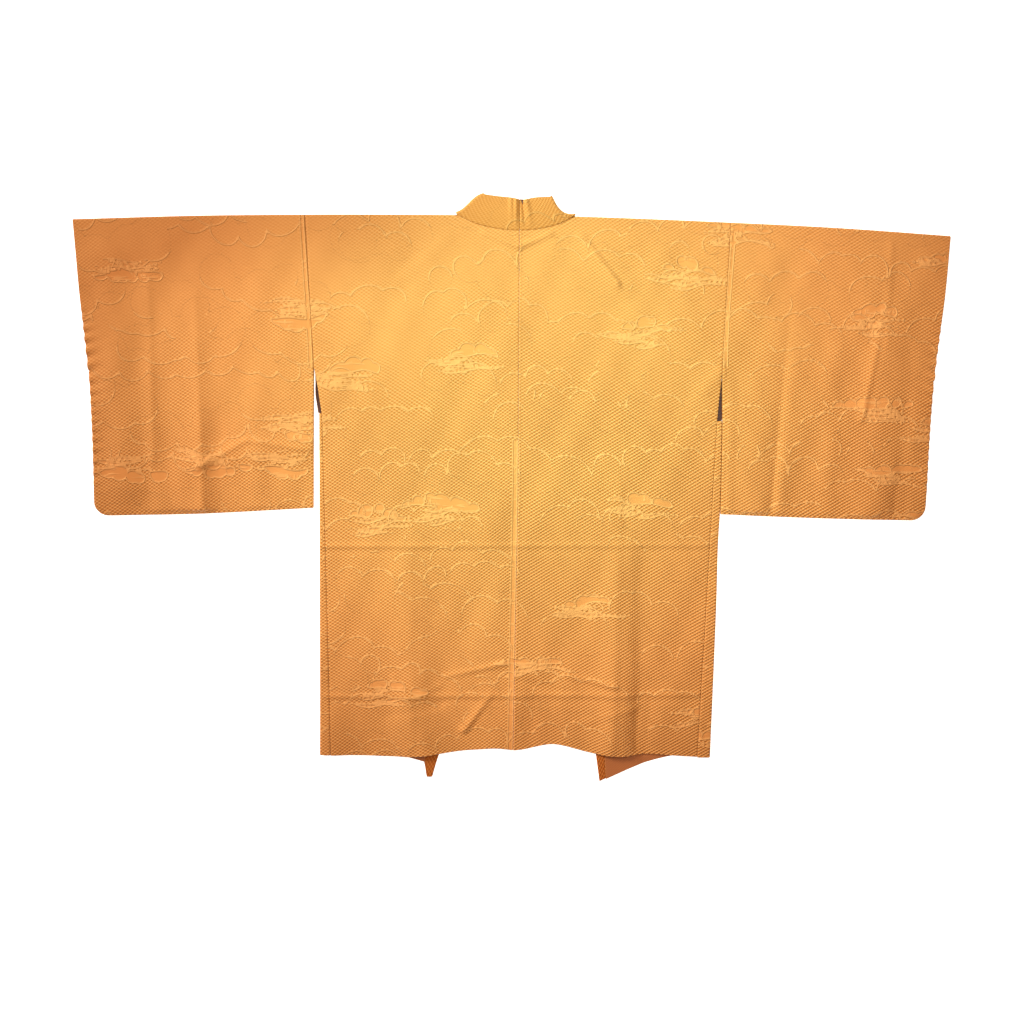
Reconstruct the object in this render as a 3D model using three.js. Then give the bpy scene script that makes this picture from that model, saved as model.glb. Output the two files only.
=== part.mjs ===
// A woman's haori jacket, laid flat on its front with its back up and its sleeves spread.
// Millimetres, +Z up, +Y towards the collar, +X along the shoulders. The origin is the bottom
// centre of the whole garment. Every piece is one closed thin wall around its middle surface.
import * as THREE from "three";

// ---- Driving dimensions -------------------------------------------------------------------
const WALL = 1.2; // outer cloth and lining together
const GAP = 0.3; // clear space at every seam and between layers
const LAYER = WALL + GAP; // pitch of layers that lie on each other
const FRONT_LEVEL = WALL / 2; // middle surface of the cloth that rests on the floor
const TURNED_FRONT_LEVEL = FRONT_LEVEL + LAYER; // front panel where the lapel lies under it
const BACK_LEVEL = FRONT_LEVEL + 2 * LAYER; // middle surface of the back
const FOLD_BULGE = LAYER; // how far a soft fold stands out past the flat layers

const COLLAR_RISE = 34.7; // highest point of the collar above the neck level
const FRONT_DROP = 869; // lowest front corner below the neck level
const NECK_Y = (FRONT_DROP - COLLAR_RISE) / 2; // neck level in the garment's own frame

const ARMHOLE = 222; // sleeve seam below the shoulder fold
const VENT = 73; // open armpit slit below the sleeve seam
const CUFF_OPENING = ARMHOLE; // open part of the sleeve end, below the shoulder fold
const SLEEVE_CORNER = 20; // radius of the lower outer sleeve corner

const LAPEL = 55; // width of the turned-out half of the collar band
const LAPEL_BED = 47; // the front panel is raised this far from the collar seam
const LAPEL_STEP = 12; // and comes down to the floor over this width
const COLLAR_LAP = 2; // the collar's free edge overlaps the back by this much
const COLLAR_FAN_END = -90; // below the neck by this much the band runs straight down the front
const NECK_CLEARANCE = 2; // collar band starts this far above the shoulder fold

// Shoulder fold from sleeve end to sleeve end; y is above the neck level.
const SHOULDER = [
  { x: -651, y: -3 },
  { x: -462, y: 2.2 },
  { x: -306, y: 3.6 },
  { x: -75, y: 2.9 },
  { x: 93, y: 0.7 },
  { x: 324, y: -8 },
  { x: 486, y: -16 },
  { x: 651, y: -27.6 },
];

// Back hem: a slow wave, highest just right of the centre seam.
const BACK_HEM = [
  { x: -301, y: -825 },
  { x: -222, y: -826.6 },
  { x: -165, y: -827 },
  { x: -128, y: -824.4 },
  { x: -66, y: -817.5 },
  { x: -19, y: -814.4 },
  { x: 2, y: -816.8 },
  { x: 67, y: -808.7 },
  { x: 122, y: -820.9 },
  { x: 177, y: -826.6 },
  { x: 208, y: -824.1 },
  { x: 310, y: -829.8 },
];

// Centre back seam, and the neck seam that crosses it.
const CENTRE_SEAM = [
  { y: 0, x: 11.2 },
  { y: -423, x: 9.1 },
  { y: -657, x: 4.6 },
  { y: -820, x: 1.6 },
];
const NECK_DIP = 17.4; // neck seam below the neck level at the centre
const COLLAR_TOP = 29; // collar fold above the neck level at the centre

// What differs from side to side: distances are from the middle of the span, outwards.
const LEFT = {
  name: "left",
  sign: -1,
  neckX: 82,
  collarTop: { x: 41, y: 33.6 },
  collarBow: 4.7,
  collarNick: 5.3,
  edge: [
    { down: 0, x: 306.2 },
    { down: ARMHOLE, x: 297.6 },
    { down: ARMHOLE + 28, x: 292.9 },
    { down: ARMHOLE + VENT, x: 287 },
    { down: 828, x: 283.5 },
  ],
  goreFold: [
    { down: ARMHOLE + VENT, x: 291.2 },
    { down: 458, x: 294.1 },
    { down: 828, x: 300.8 },
  ],
  sleeveInner: [
    { down: 0, x: 306.2 },
    { down: ARMHOLE, x: 297.6 },
    { down: 439, x: 302.8 },
  ],
  sleeveOuter: [
    { down: 0, x: 650.7 },
    { down: 111, x: 644.5 },
    { down: 222, x: 637.2 },
    { down: 445, x: 637.5 },
  ],
  sleeveHem: [
    { x: 302, y: -435.3 },
    { x: 461, y: -443.8 },
    { x: 638, y: -447.7 },
  ],
  frontEdge: { x: 136.4, y: -838 },
  frontHem: [
    { x: 136.4, y: -838 },
    { x: 164.5, y: -829.8 },
    { x: 301, y: -820 },
  ],
  collarEnd: [
    { x: 110, y: -861 },
    { x: 134, y: -862.4 },
    { x: 137, y: -837 },
    { x: 164.5, y: -828.5 },
    { x: 301, y: -819 },
  ],
  bandWidth: [
    { down: 0, width: 44 },
    { down: 400, width: 36 },
    { down: 829, width: 19.5 },
    { down: 862, width: 10 },
  ],
};
const RIGHT = {
  name: "right",
  sign: 1,
  neckX: 93,
  collarTop: { x: 57, y: 30 },
  collarBow: -6,
  collarNick: 3.2,
  edge: [
    { down: 0, x: 324.3 },
    { down: ARMHOLE, x: 315.8 },
    { down: ARMHOLE + VENT, x: 309.9 },
    { down: 822, x: 289.9 },
  ],
  goreFold: [
    { down: ARMHOLE + VENT, x: 316.6 },
    { down: 446, x: 316 },
    { down: 570, x: 315.1 },
    { down: 730, x: 312.3 },
    { down: 822, x: 310.3 },
  ],
  sleeveInner: [
    { down: 0, x: 324.3 },
    { down: ARMHOLE, x: 315.8 },
    { down: ARMHOLE + VENT, x: 318.2 },
    { down: 437, x: 318.2 },
  ],
  sleeveOuter: [
    { down: 0, x: 650.7 },
    { down: 94, x: 645.6 },
    { down: 198, x: 636.8 },
    { down: 428, x: 630.9 },
  ],
  sleeveHem: [
    { x: 317, y: -445.4 },
    { x: 470, y: -451.6 },
    { x: 631, y: -455.4 },
  ],
  frontEdge: { x: 147.2, y: -866 },
  frontHem: [
    { x: 147.2, y: -866 },
    { x: 206.5, y: -839.6 },
    { x: 257, y: -826.6 },
    { x: 311, y: -820 },
  ],
  collarEnd: [
    { x: 130, y: -FRONT_DROP },
    { x: 138.3, y: -FRONT_DROP },
    { x: 147.2, y: -864.5 },
    { x: 206.5, y: -838 },
    { x: 311, y: -819 },
  ],
  bandWidth: [
    { down: 0, width: 46 },
    { down: 400, width: 34 },
    { down: 822, width: 12.5 },
    { down: 869, width: 9 },
  ],
};

// The largest soft folds of the upper layer. Each is a ridge along a line, with its own reach
// to each side, that rises from one height at its start to another at its end.
const FOLDS = [
  { name: "left hem flute", x0: -172, y0: -470, rise0: 0, x1: -140, y1: -826, rise1: 9, reach: 58 },
  { name: "right hem flute", x0: 172, y0: -400, rise0: 0, x1: 168, y1: -824, rise1: 9, reach: 62 },
  { name: "centre ridge", x0: 9, y0: -520, rise0: 0, x1: 2, y1: -812, rise1: 4, reach: 34 },
  { name: "left hem corner", x0: -270, y0: -700, rise0: 0, x1: -286, y1: -824, rise1: 4, reach: 40 },
  { name: "left sleeve fall", x0: -484, y0: -110, rise0: 0, x1: -488, y1: -430, rise1: 6, reach: 46 },
  { name: "left sleeve drag", x0: -475, y0: -363, rise0: 3, x1: -318, y1: -338, rise1: 2, reach: 34 },
  { name: "left cuff fall", x0: -600, y0: -60, rise0: 2, x1: -590, y1: -400, rise1: 4, reach: 40 },
  { name: "right sleeve fall", x0: 408, y0: -150, rise0: 0, x1: 380, y1: -436, rise1: 6, reach: 44 },
  { name: "right cuff fall", x0: 566, y0: -120, rise0: 1, x1: 548, y1: -438, rise1: 4, reach: 46 },
  { name: "right shoulder drag", x0: 106, y0: -34, rise0: 1, x1: 168, y1: -98, rise1: 3, reach: 32 },
];

// Steps of the meshes.
const STEPS = {
  neck: 5, // columns from the centre seam to the neck corner, on body and collar alike
  side: 5, // columns from the raised front bed to the side
  armhole: 6,
  vent: 2,
  skirt: 11,
  fold: 4,
  sleeveAcross: 9,
  sleeveUpper: 6,
  sleeveLower: 5,
  goreAcross: 1,
  goreDown: 9,
  collarTurn: 4,
  collarFan: 3,
  collarRun: 11,
  collarWidth: 2,
};

// ---- Small tools --------------------------------------------------------------------------
const { lerp, clamp } = THREE.MathUtils;

/** Value of a column at a place, read from a short table that is sorted by its key column. */
function readTable(table, key, column, at) {
  const rising = table[table.length - 1][key] > table[0][key];
  const rows = rising ? table : [...table].reverse();
  let upper = rows.findIndex((row) => row[key] >= at);
  if (upper < 0) upper = rows.length - 1;
  if (upper === 0) upper = 1;
  const [low, high] = [rows[upper - 1], rows[upper]];
  const share = clamp((at - low[key]) / (high[key] - low[key]), 0, 1);
  return lerp(low[column], high[column], share);
}

/** Height that the large folds give the upper layer at a place. */
function foldLift(x, y) {
  let lift = 0;
  for (const fold of FOLDS) {
    const run = new THREE.Vector2(fold.x1 - fold.x0, fold.y1 - fold.y0);
    const from = new THREE.Vector2(x - fold.x0, y - fold.y0);
    const share = clamp(from.dot(run) / run.lengthSq(), 0, 1);
    const away = from.addScaledVector(run, -share).length();
    if (away < fold.reach) {
      const bell = (1 + Math.cos((Math.PI * away) / fold.reach)) / 2;
      lift += bell * lerp(fold.rise0, fold.rise1, share);
    }
  }
  return lift;
}

/** Evenly spaced shares from 0 to 1. */
function shares(steps) {
  return Array.from({ length: steps + 1 }, (_, index) => index / steps);
}

/** Shares from 0 to 1 with whole stretches between the given break points. */
function brokenShares(breaks, steps) {
  const values = [0];
  for (const [index, end] of breaks.entries()) {
    const start = values[values.length - 1];
    for (const share of shares(steps[index]).slice(1)) {
      values.push(lerp(start, end, share));
    }
  }
  return values;
}

/** Middle surface on a grid: its points, and the cells kept, each as four point numbers. */
function gridSurface(rows, columns, pointAt, keepCell = () => true) {
  const nodes = [];
  const quads = [];
  for (let row = 0; row < rows; row += 1) {
    for (let column = 0; column < columns; column += 1) {
      nodes.push(pointAt(row, column));
    }
  }
  for (let row = 0; row + 1 < rows; row += 1) {
    for (let column = 0; column + 1 < columns; column += 1) {
      if (keepCell(row, column)) {
        const corner = row * columns + column;
        quads.push([corner, corner + 1, corner + columns + 1, corner + columns]);
      }
    }
  }
  return { nodes, quads };
}

/** Closed wall around a middle surface, half the wall to each side of it. */
function clothGeometry({ nodes, quads }) {
  const normals = nodes.map(() => new THREE.Vector3());
  for (const [a, b, c, d] of quads) {
    const across = new THREE.Vector3().subVectors(nodes[c], nodes[a]);
    const area = across.cross(new THREE.Vector3().subVectors(nodes[d], nodes[b]));
    for (const corner of [a, b, c, d]) normals[corner].add(area);
  }
  const used = [...new Set(quads.flat())];
  const slot = new Map(used.map((node, index) => [node, index]));
  const faces = [WALL / 2, -WALL / 2].map((offset) =>
    used.map((node) => normals[node].clone().setLength(offset).add(nodes[node])),
  );
  const directed = new Set();
  const index = [];
  for (const quad of quads) {
    const [a, b, c, d] = quad.map((node) => slot.get(node));
    const under = used.length;
    index.push(a, b, c, a, c, d);
    index.push(under + a, under + c, under + b, under + a, under + d, under + c);
    for (const [from, to] of [[a, b], [b, c], [c, d], [d, a]]) directed.add(`${from}:${to}`);
  }
  for (const key of directed) {
    const [from, to] = key.split(":").map(Number);
    if (!directed.has(`${to}:${from}`)) {
      const under = used.length;
      index.push(to, from, under + from, to, under + from, under + to);
    }
  }
  const geometry = new THREE.BufferGeometry().setFromPoints(faces.flat());
  geometry.setIndex(signedVolume(faces.flat(), index) < 0 ? index.reverse() : index);
  geometry.computeVertexNormals();
  return geometry;
}

/** Volume inside a closed triangle mesh, negative when its faces point in. */
function signedVolume(points, index) {
  let volume = 0;
  for (let first = 0; first < index.length; first += 3) {
    const [a, b, c] = [0, 1, 2].map((step) => points[index[first + step]]);
    volume += a.dot(new THREE.Vector3().crossVectors(b, c)) / 6;
  }
  return volume;
}

/** Point of a soft fold that turns from an upper level to a lower one past an edge. */
function foldedHeight(turn, upper, lower) {
  const middle = (upper + lower) / 2;
  return middle + (Math.cos(turn) * (upper - lower)) / 2;
}

const shoulderY = (x) => readTable(SHOULDER, "x", "y", x);
const centreX = (y) => readTable(CENTRE_SEAM, "y", "x", y);

/** Neck seam: a shallow bow from neck corner to neck corner. */
function neckSeamY(side, x) {
  const centre = centreX(0);
  const corner = side.sign * side.neckX;
  const share = (x - centre) / (corner - centre);
  return lerp(-NECK_DIP, shoulderY(corner), share * share);
}

/** Seam between a front panel and the collar: straight from the neck corner to the hem. */
function frontEdgeX(side, y) {
  return side.sign * lerp(side.neckX, side.frontEdge.x, y / side.frontEdge.y);
}

// ---- Body ---------------------------------------------------------------------------------
// One length of cloth on each side: up the back, over the shoulder and down the front. The
// neck is cut away from the front part, so the grid leaves those cells out.
function bodySurface(side) {
  const { sign } = side;
  const sideLength = side.edge[side.edge.length - 1].down;
  const down = brokenShares(
    [ARMHOLE / sideLength, (ARMHOLE + VENT) / sideLength, 1],
    [STEPS.armhole, STEPS.vent, STEPS.skirt],
  );
  const backRows = down.length;
  const foldRows = STEPS.fold - 1;
  const neckColumn = STEPS.neck;
  const bedColumns = 2;
  const columns = neckColumn + bedColumns + STEPS.side + 1;
  const neckX = sign * side.neckX;
  const sideX = (share) => sign * (readTable(side.edge, "down", "x", share * sideLength) - GAP / 2);

  const frontX = (column, share) => {
    const edgeY = lerp(shoulderY(neckX) - FOLD_BULGE - WALL / 2, side.frontEdge.y, share);
    const seam = frontEdgeX(side, edgeY) + (sign * GAP) / 2;
    const bed = [0, LAPEL_BED, LAPEL_BED + LAPEL_STEP].map((offset) => seam + sign * offset);
    const step = column - neckColumn;
    if (step <= bedColumns) return bed[step];
    return lerp(bed[bedColumns], sideX(share), (step - bedColumns) / STEPS.side);
  };
  const backX = (column, share) => {
    const seam = centreX(-share * sideLength) + (sign * GAP) / 2;
    if (column < neckColumn) return lerp(seam, neckX, column / neckColumn);
    const reach = (frontX(column, 0) - frontX(neckColumn, 0)) / (sideX(0) - frontX(neckColumn, 0));
    return lerp(neckX + (sign * GAP) / 2, sideX(share), reach);
  };
  const frontLevel = (column) =>
    column <= neckColumn + 1 ? TURNED_FRONT_LEVEL : FRONT_LEVEL;

  const backPoint = (column, share) => {
    const x = backX(column, share);
    const top = column < neckColumn
      ? neckSeamY(side, x) - GAP / 2
      : shoulderY(x) - FOLD_BULGE - WALL / 2;
    const y = lerp(top, readTable(BACK_HEM, "x", "y", x), share);
    return new THREE.Vector3(x, y, BACK_LEVEL + foldLift(x, y));
  };
  const foldPoint = (column, turn) => {
    const { x, y, z } = backPoint(column, 0);
    return new THREE.Vector3(
      x,
      y + Math.sin(turn) * FOLD_BULGE,
      foldedHeight(turn, z, frontLevel(column)),
    );
  };
  const frontPoint = (column, share) => {
    const x = frontX(column, share);
    const top = shoulderY(frontX(column, 0)) - FOLD_BULGE - WALL / 2;
    const hem = readTable(side.frontHem, "x", "y", Math.abs(frontX(column, 1)));
    return new THREE.Vector3(x, lerp(top, hem, share), frontLevel(column));
  };

  const frontDown = down.filter((_, index) => index % 2 === 0 || index === down.length - 1);
  const rows = backRows + foldRows + frontDown.length;
  const pointAt = (row, column) => {
    if (row < backRows) return backPoint(column, down[backRows - 1 - row]);
    const step = row - backRows;
    const held = Math.max(column, neckColumn);
    if (step < foldRows) return foldPoint(held, (Math.PI * (step + 1)) / STEPS.fold);
    return frontPoint(held, frontDown[step - foldRows]);
  };
  const isCloth = (row, column) => row < backRows - 1 || column >= neckColumn;
  return gridSurface(rows, columns, pointAt, isCloth);
}

// ---- Sleeve -------------------------------------------------------------------------------
const INSET = 0.98; // share of the way to the corner at which its direction is taken
// A flattened tube: folded along the shoulder, sewn along the bottom and up the outer edge as
// far as the cuff opening, and open along the whole inner edge.
function sleeveSurface(side) {
  const { sign } = side;
  const length = side.sleeveInner[side.sleeveInner.length - 1].down;
  const down = brokenShares(
    [ARMHOLE / length, 1 - SLEEVE_CORNER / length, 1],
    [STEPS.sleeveUpper, STEPS.sleeveLower - 1, 2],
  );
  const width = side.sleeveOuter[0].x - side.sleeveInner[0].x;
  const across = brokenShares(
    [1 - SLEEVE_CORNER / width, 1],
    [STEPS.sleeveAcross - 2, 2],
  );
  const planPoint = (reach, share) => {
    const inner = readTable(side.sleeveInner, "down", "x", share * length) + GAP / 2;
    const sewn = share * length < CUFF_OPENING - GAP ? 0 : FOLD_BULGE + WALL / 2;
    const outer = readTable(side.sleeveOuter, "down", "x", share * length) - sewn;
    let x = lerp(inner, outer, reach);
    const top = shoulderY(sign * x) - FOLD_BULGE - WALL / 2;
    const hem = readTable(side.sleeveHem, "x", "y", x) + FOLD_BULGE + WALL / 2;
    let y = lerp(top, hem, share);
    const centre = { x: outer - SLEEVE_CORNER, y: hem + SLEEVE_CORNER };
    const right = (x - centre.x) / SLEEVE_CORNER;
    const below = (centre.y - y) / SLEEVE_CORNER;
    if (right > 0 && below > 0) {
      x = centre.x + SLEEVE_CORNER * right * Math.sqrt(1 - (below * below) / 2);
      y = centre.y - SLEEVE_CORNER * below * Math.sqrt(1 - (right * right) / 2);
    }
    return { x: sign * x, y };
  };
  const layers = down.length;
  const turns = STEPS.fold - 1;
  const ring = 2 * layers + 2 * turns;
  const outward = (reach, share) => {
    const [here, back] = [planPoint(reach, share), planPoint(reach * INSET, share * INSET)];
    const corner = new THREE.Vector2(here.x - back.x, here.y - back.y).normalize();
    if (reach < 1) return new THREE.Vector2(0, share < 1 ? 1 : -1);
    return share < 1 ? new THREE.Vector2(sign, 0) : corner;
  };
  const turned = (reach, share, turn) => {
    const { x, y } = planPoint(reach, share);
    const out = outward(reach, share).multiplyScalar(Math.sin(turn) * FOLD_BULGE);
    const upper = BACK_LEVEL + foldLift(x, y);
    return new THREE.Vector3(x + out.x, y + out.y, foldedHeight(turn, upper, FRONT_LEVEL));
  };
  const ringPoint = (column, row) => {
    const reach = across[column];
    if (row < layers) return turned(reach, down[row], 0);
    if (row < layers + turns) {
      return turned(reach, 1, (Math.PI * (row - layers + 1)) / STEPS.fold);
    }
    if (row < 2 * layers + turns) {
      return turned(reach, down[2 * layers + turns - 1 - row], Math.PI);
    }
    const turn = (Math.PI * (ring - row)) / STEPS.fold;
    const point = turned(reach, 0, turn);
    point.x = planPoint(reach, 0).x;
    point.y = planPoint(reach, 0).y + Math.sin(turn) * FOLD_BULGE;
    return point;
  };
  const surface = gridSurface(across.length, ring, ringPoint);
  for (let column = 0; column + 1 < across.length; column += 1) {
    const first = column * ring;
    surface.quads.push([first + ring - 1, first, first + ring, first + 2 * ring - 1]);
  }
  closeSleeveEnd(surface, { across, down, ring, layers, turns, length, turned });
  return surface;
}

/** Sews the outer edge of a sleeve shut below its cuff opening with a soft fold. */
function closeSleeveEnd(surface, { across, down, ring, layers, turns, length, turned }) {
  const last = (across.length - 1) * ring;
  const firstSewn = down.findIndex((share) => share * length > CUFF_OPENING - GAP);
  const strips = [];
  for (let row = firstSewn; row < layers; row += 1) {
    const strip = [last + row];
    for (let step = 1; step <= turns; step += 1) {
      if (row === layers - 1) {
        strip.push(last + layers - 1 + step);
      } else {
        strip.push(surface.nodes.length);
        surface.nodes.push(turned(1, down[row], (Math.PI * step) / STEPS.fold));
      }
    }
    strip.push(last + 2 * layers + turns - 1 - row);
    strips.push(strip);
  }
  for (let row = 0; row + 1 < strips.length; row += 1) {
    for (let step = 0; step <= turns; step += 1) {
      const [upper, lower] = [strips[row], strips[row + 1]];
      surface.quads.push([upper[step], lower[step], lower[step + 1], upper[step + 1]]);
    }
  }
}

// ---- Side gore ----------------------------------------------------------------------------
// A long narrow wedge between back and front, folded along its length.
function goreSurface(side) {
  const { sign } = side;
  const top = ARMHOLE + VENT;
  const end = side.edge[side.edge.length - 1].down;
  const down = shares(STEPS.goreDown);
  const columns = 2 * (STEPS.goreAcross + 1) + STEPS.fold - 1;
  const pointAt = (row, column) => {
    const depth = lerp(top, end, down[row]);
    const seam = readTable(side.edge, "down", "x", depth) + GAP / 2;
    const fold = readTable(side.goreFold, "down", "x", depth) - FOLD_BULGE - WALL / 2;
    const layer = STEPS.goreAcross + 1;
    const step = column - STEPS.goreAcross;
    const turn = (Math.PI * clamp(step, 0, STEPS.fold)) / STEPS.fold;
    const flat = column < layer ? column : columns - 1 - column;
    const inLayer = column < layer || column >= columns - layer;
    const reach = inLayer ? lerp(seam, fold, flat / STEPS.goreAcross) : fold;
    const x = sign * (reach + Math.sin(turn) * FOLD_BULGE);
    const hem = readTable(BACK_HEM, "x", "y", sign * fold);
    const y = lerp(shoulderY(sign * side.edge[0].x) - top, hem, down[row]);
    return new THREE.Vector3(x, y, foldedHeight(turn, BACK_LEVEL + foldLift(x, y), FRONT_LEVEL));
  };
  return gridSurface(down.length, columns, pointAt);
}

// ---- Collar -------------------------------------------------------------------------------
// Half of the long collar band, from the centre back to the front hem. It is folded along its
// length: one layer is sewn to the body, and the other is turned out over it. At the neck
// corner the whole band folds under, so that it runs down the front below the back.
const BAND_MIDDLE = FRONT_LEVEL + 1.5 * LAYER; // level about which the band turns under
const BOW_SCALE = 4; // makes the bow's highest point 1, half way along the section
const NICK_SCALE = 27 / 4; // makes the nick's deepest point 1, a third of the way from the seam
const BOW_FADE = 3; // powers by which bow and overlap change towards the neck corner
const LAP_FADE = 8;
const SEWN_RADIUS = LAYER / 2;
const TURNED_RADIUS = SEWN_RADIUS + LAYER;

/** Stations along a collar half: where the seam and the fold are, and how far it has turned. */
function collarStations(side) {
  const { sign } = side;
  const bodyGap = GAP / 2;
  const corner = {
    x: sign * (side.neckX - GAP),
    y: shoulderY(sign * side.neckX) + NECK_CLEARANCE,
  };
  const tip = { x: sign * side.collarTop.x, y: side.collarTop.y };
  const centre = centreX(0) + sign * bodyGap;
  const stations = [];
  for (const share of shares(STEPS.neck)) {
    const seamX = lerp(centre, corner.x, share);
    const rise = share === 1 ? corner.y : neckSeamY(side, seamX) + bodyGap;
    stations.push({
      seam: { x: seamX, y: rise },
      fold: { x: lerp(centre, tip.x, share), y: lerp(COLLAR_TOP, tip.y, share * share) - 1 },
      bow: share ** BOW_FADE,
      turn: 0,
      lapel: COLLAR_LAP * (1 - share ** LAP_FADE),
    });
  }
  const edge = stations[stations.length - 1];
  for (const share of shares(STEPS.collarTurn).slice(1)) {
    stations.push({ ...edge, turn: Math.PI * share, lapel: 0 });
  }
  const width = readTable(side.bandWidth, "down", "width", -COLLAR_FAN_END);
  for (const share of shares(STEPS.collarFan).slice(1)) {
    const y = lerp(corner.y, COLLAR_FAN_END, share);
    const seamX = frontEdgeX(side, Math.min(y, 0)) - sign * bodyGap;
    stations.push({
      seam: { x: seamX, y },
      fold: {
        x: lerp(tip.x, seamX - sign * width, Math.sqrt(share)),
        y: lerp(tip.y, COLLAR_FAN_END, share),
      },
      bow: 1 - share,
      turn: Math.PI,
      lapel: (LAPEL - width) * share,
    });
  }
  const bottom = -side.bandWidth[side.bandWidth.length - 1].down;
  for (const share of shares(STEPS.collarRun).slice(1)) {
    const y = lerp(COLLAR_FAN_END, bottom, share);
    const wide = readTable(side.bandWidth, "down", "width", -y);
    const seamX = frontEdgeX(side, Math.max(y, side.frontEdge.y)) - sign * bodyGap;
    stations.push({
      seam: { x: seamX, y },
      fold: { x: seamX - sign * wide, y },
      bow: 0,
      turn: Math.PI,
      lapel: LAPEL - wide,
      run: share,
    });
  }
  return stations;
}

function collarSurface(side) {
  const { sign } = side;
  const stations = collarStations(side);
  const section = (station) => {
    const width = Math.hypot(
      station.fold.x - station.seam.x,
      station.fold.y - station.seam.y,
    ) - SEWN_RADIUS;
    const points = shares(STEPS.collarWidth).map((share) => ({
      along: share * width,
      radius: SEWN_RADIUS,
    }));
    for (let step = 1; step < STEPS.fold; step += 1) {
      const turn = (Math.PI * step) / STEPS.fold;
      points.push({
        along: width + Math.sin(turn) * SEWN_RADIUS,
        radius: LAYER - Math.cos(turn) * SEWN_RADIUS,
      });
    }
    for (const share of shares(STEPS.collarWidth + 1)) {
      points.push({ along: lerp(width, -station.lapel, share), radius: TURNED_RADIUS });
    }
    return { width, points };
  };
  const sections = stations.map(section);
  const pointAt = (row, column) => {
    const { seam, fold, bow, turn, run } = stations[row];
    const { width, points } = sections[row];
    const { along, radius } = points[column];
    const line = new THREE.Vector2(fold.x - seam.x, fold.y - seam.y).normalize();
    const out = new THREE.Vector2(line.y, -line.x).multiplyScalar(sign);
    const share = clamp(along / width, 0, 1);
    const curve = side.collarBow * BOW_SCALE * share * (1 - share);
    const nick = side.collarNick * NICK_SCALE * share * (1 - share) ** 2;
    const outward = bow * (curve - nick) + Math.sin(turn) * radius;
    const x = seam.x + line.x * along + out.x * outward;
    let y = seam.y + line.y * along + out.y * outward;
    if (run) {
      const end = readTable(side.collarEnd, "x", "y", Math.abs(x));
      y = lerp(COLLAR_FAN_END, end, run);
    }
    return new THREE.Vector3(x, y, BAND_MIDDLE + Math.cos(turn) * radius);
  };
  return gridSurface(stations.length, sections[0].points.length, pointAt);
}

// ---- The garment --------------------------------------------------------------------------
const COLOURS = { body: 0xe9a558, sleeve: 0xe09a50, gore: 0xdf9a4e, collar: 0xeda757 };

/** One named piece of cloth. */
function clothPiece(name, surface, colour) {
  const material = new THREE.MeshStandardMaterial({ color: colour, roughness: 0.55, metalness: 0 });
  const mesh = new THREE.Mesh(clothGeometry(surface), material);
  mesh.name = name;
  return mesh;
}

const haori = new THREE.Group();
haori.name = "haori_jacket";
haori.position.y = NECK_Y;
for (const side of [LEFT, RIGHT]) {
  haori.add(clothPiece(`body_${side.name}`, bodySurface(side), COLOURS.body));
  haori.add(clothPiece(`sleeve_${side.name}`, sleeveSurface(side), COLOURS.sleeve));
  haori.add(clothPiece(`gore_${side.name}`, goreSurface(side), COLOURS.gore));
  haori.add(clothPiece(`collar_${side.name}`, collarSurface(side), COLOURS.collar));
}

export default haori;
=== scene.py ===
"""A woman's silk haori jacket, laid flat on its front with its back up.

Each cut piece of the garment is one closed thin shell around its middle surface. A middle
surface is worked out on a grid in the cutter's own millimetres, with x across the sleeves and y
above the neck level, and is then set into the frame in metres.
"""
import logging
from dataclasses import dataclass
from enum import Enum

import bpy
import numpy as np
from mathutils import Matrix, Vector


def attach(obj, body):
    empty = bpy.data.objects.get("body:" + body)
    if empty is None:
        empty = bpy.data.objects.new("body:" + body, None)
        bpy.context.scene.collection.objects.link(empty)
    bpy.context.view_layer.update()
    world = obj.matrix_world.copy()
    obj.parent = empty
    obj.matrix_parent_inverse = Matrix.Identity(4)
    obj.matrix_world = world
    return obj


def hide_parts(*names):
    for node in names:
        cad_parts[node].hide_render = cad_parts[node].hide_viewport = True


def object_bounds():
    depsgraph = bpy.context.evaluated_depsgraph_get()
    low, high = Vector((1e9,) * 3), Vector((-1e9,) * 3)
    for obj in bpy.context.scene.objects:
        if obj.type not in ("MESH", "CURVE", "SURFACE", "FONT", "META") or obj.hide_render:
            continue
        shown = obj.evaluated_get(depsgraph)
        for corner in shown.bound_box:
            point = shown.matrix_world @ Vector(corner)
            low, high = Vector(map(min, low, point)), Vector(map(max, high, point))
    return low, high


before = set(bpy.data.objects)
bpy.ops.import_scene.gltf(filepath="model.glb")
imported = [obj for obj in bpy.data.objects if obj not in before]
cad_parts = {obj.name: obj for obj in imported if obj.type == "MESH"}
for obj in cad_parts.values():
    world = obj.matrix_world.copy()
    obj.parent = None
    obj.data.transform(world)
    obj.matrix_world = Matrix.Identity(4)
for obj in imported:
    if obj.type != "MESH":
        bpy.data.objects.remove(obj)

Array = np.ndarray
log = logging.getLogger("haori")

MM = 0.001
Triple = tuple[float, float, float]
CAD_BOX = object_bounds()


# ---- Sizes shared by every piece, in millimetres ---------------------------------------------
WALL = 1.2  # outer cloth and lining together
LAYER = 1.5  # pitch of layers that lie on each other
FRONT_LEVEL = WALL / 2  # middle of the cloth that rests on the floor
TURNED_FRONT_LEVEL = FRONT_LEVEL + LAYER  # front panel where the lapel lies under it
BACK_LEVEL = FRONT_LEVEL + 2 * LAYER  # middle of the back
FOLD_BULGE = LAYER  # how far a soft fold stands out past the flat layers
FOLD_REACH = FOLD_BULGE + WALL / 2
RIM = 0.56  # bulge of a cut edge
SEAM_MARGIN = 0.005 + RIM  # each piece stops this far short of its seam line

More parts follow.
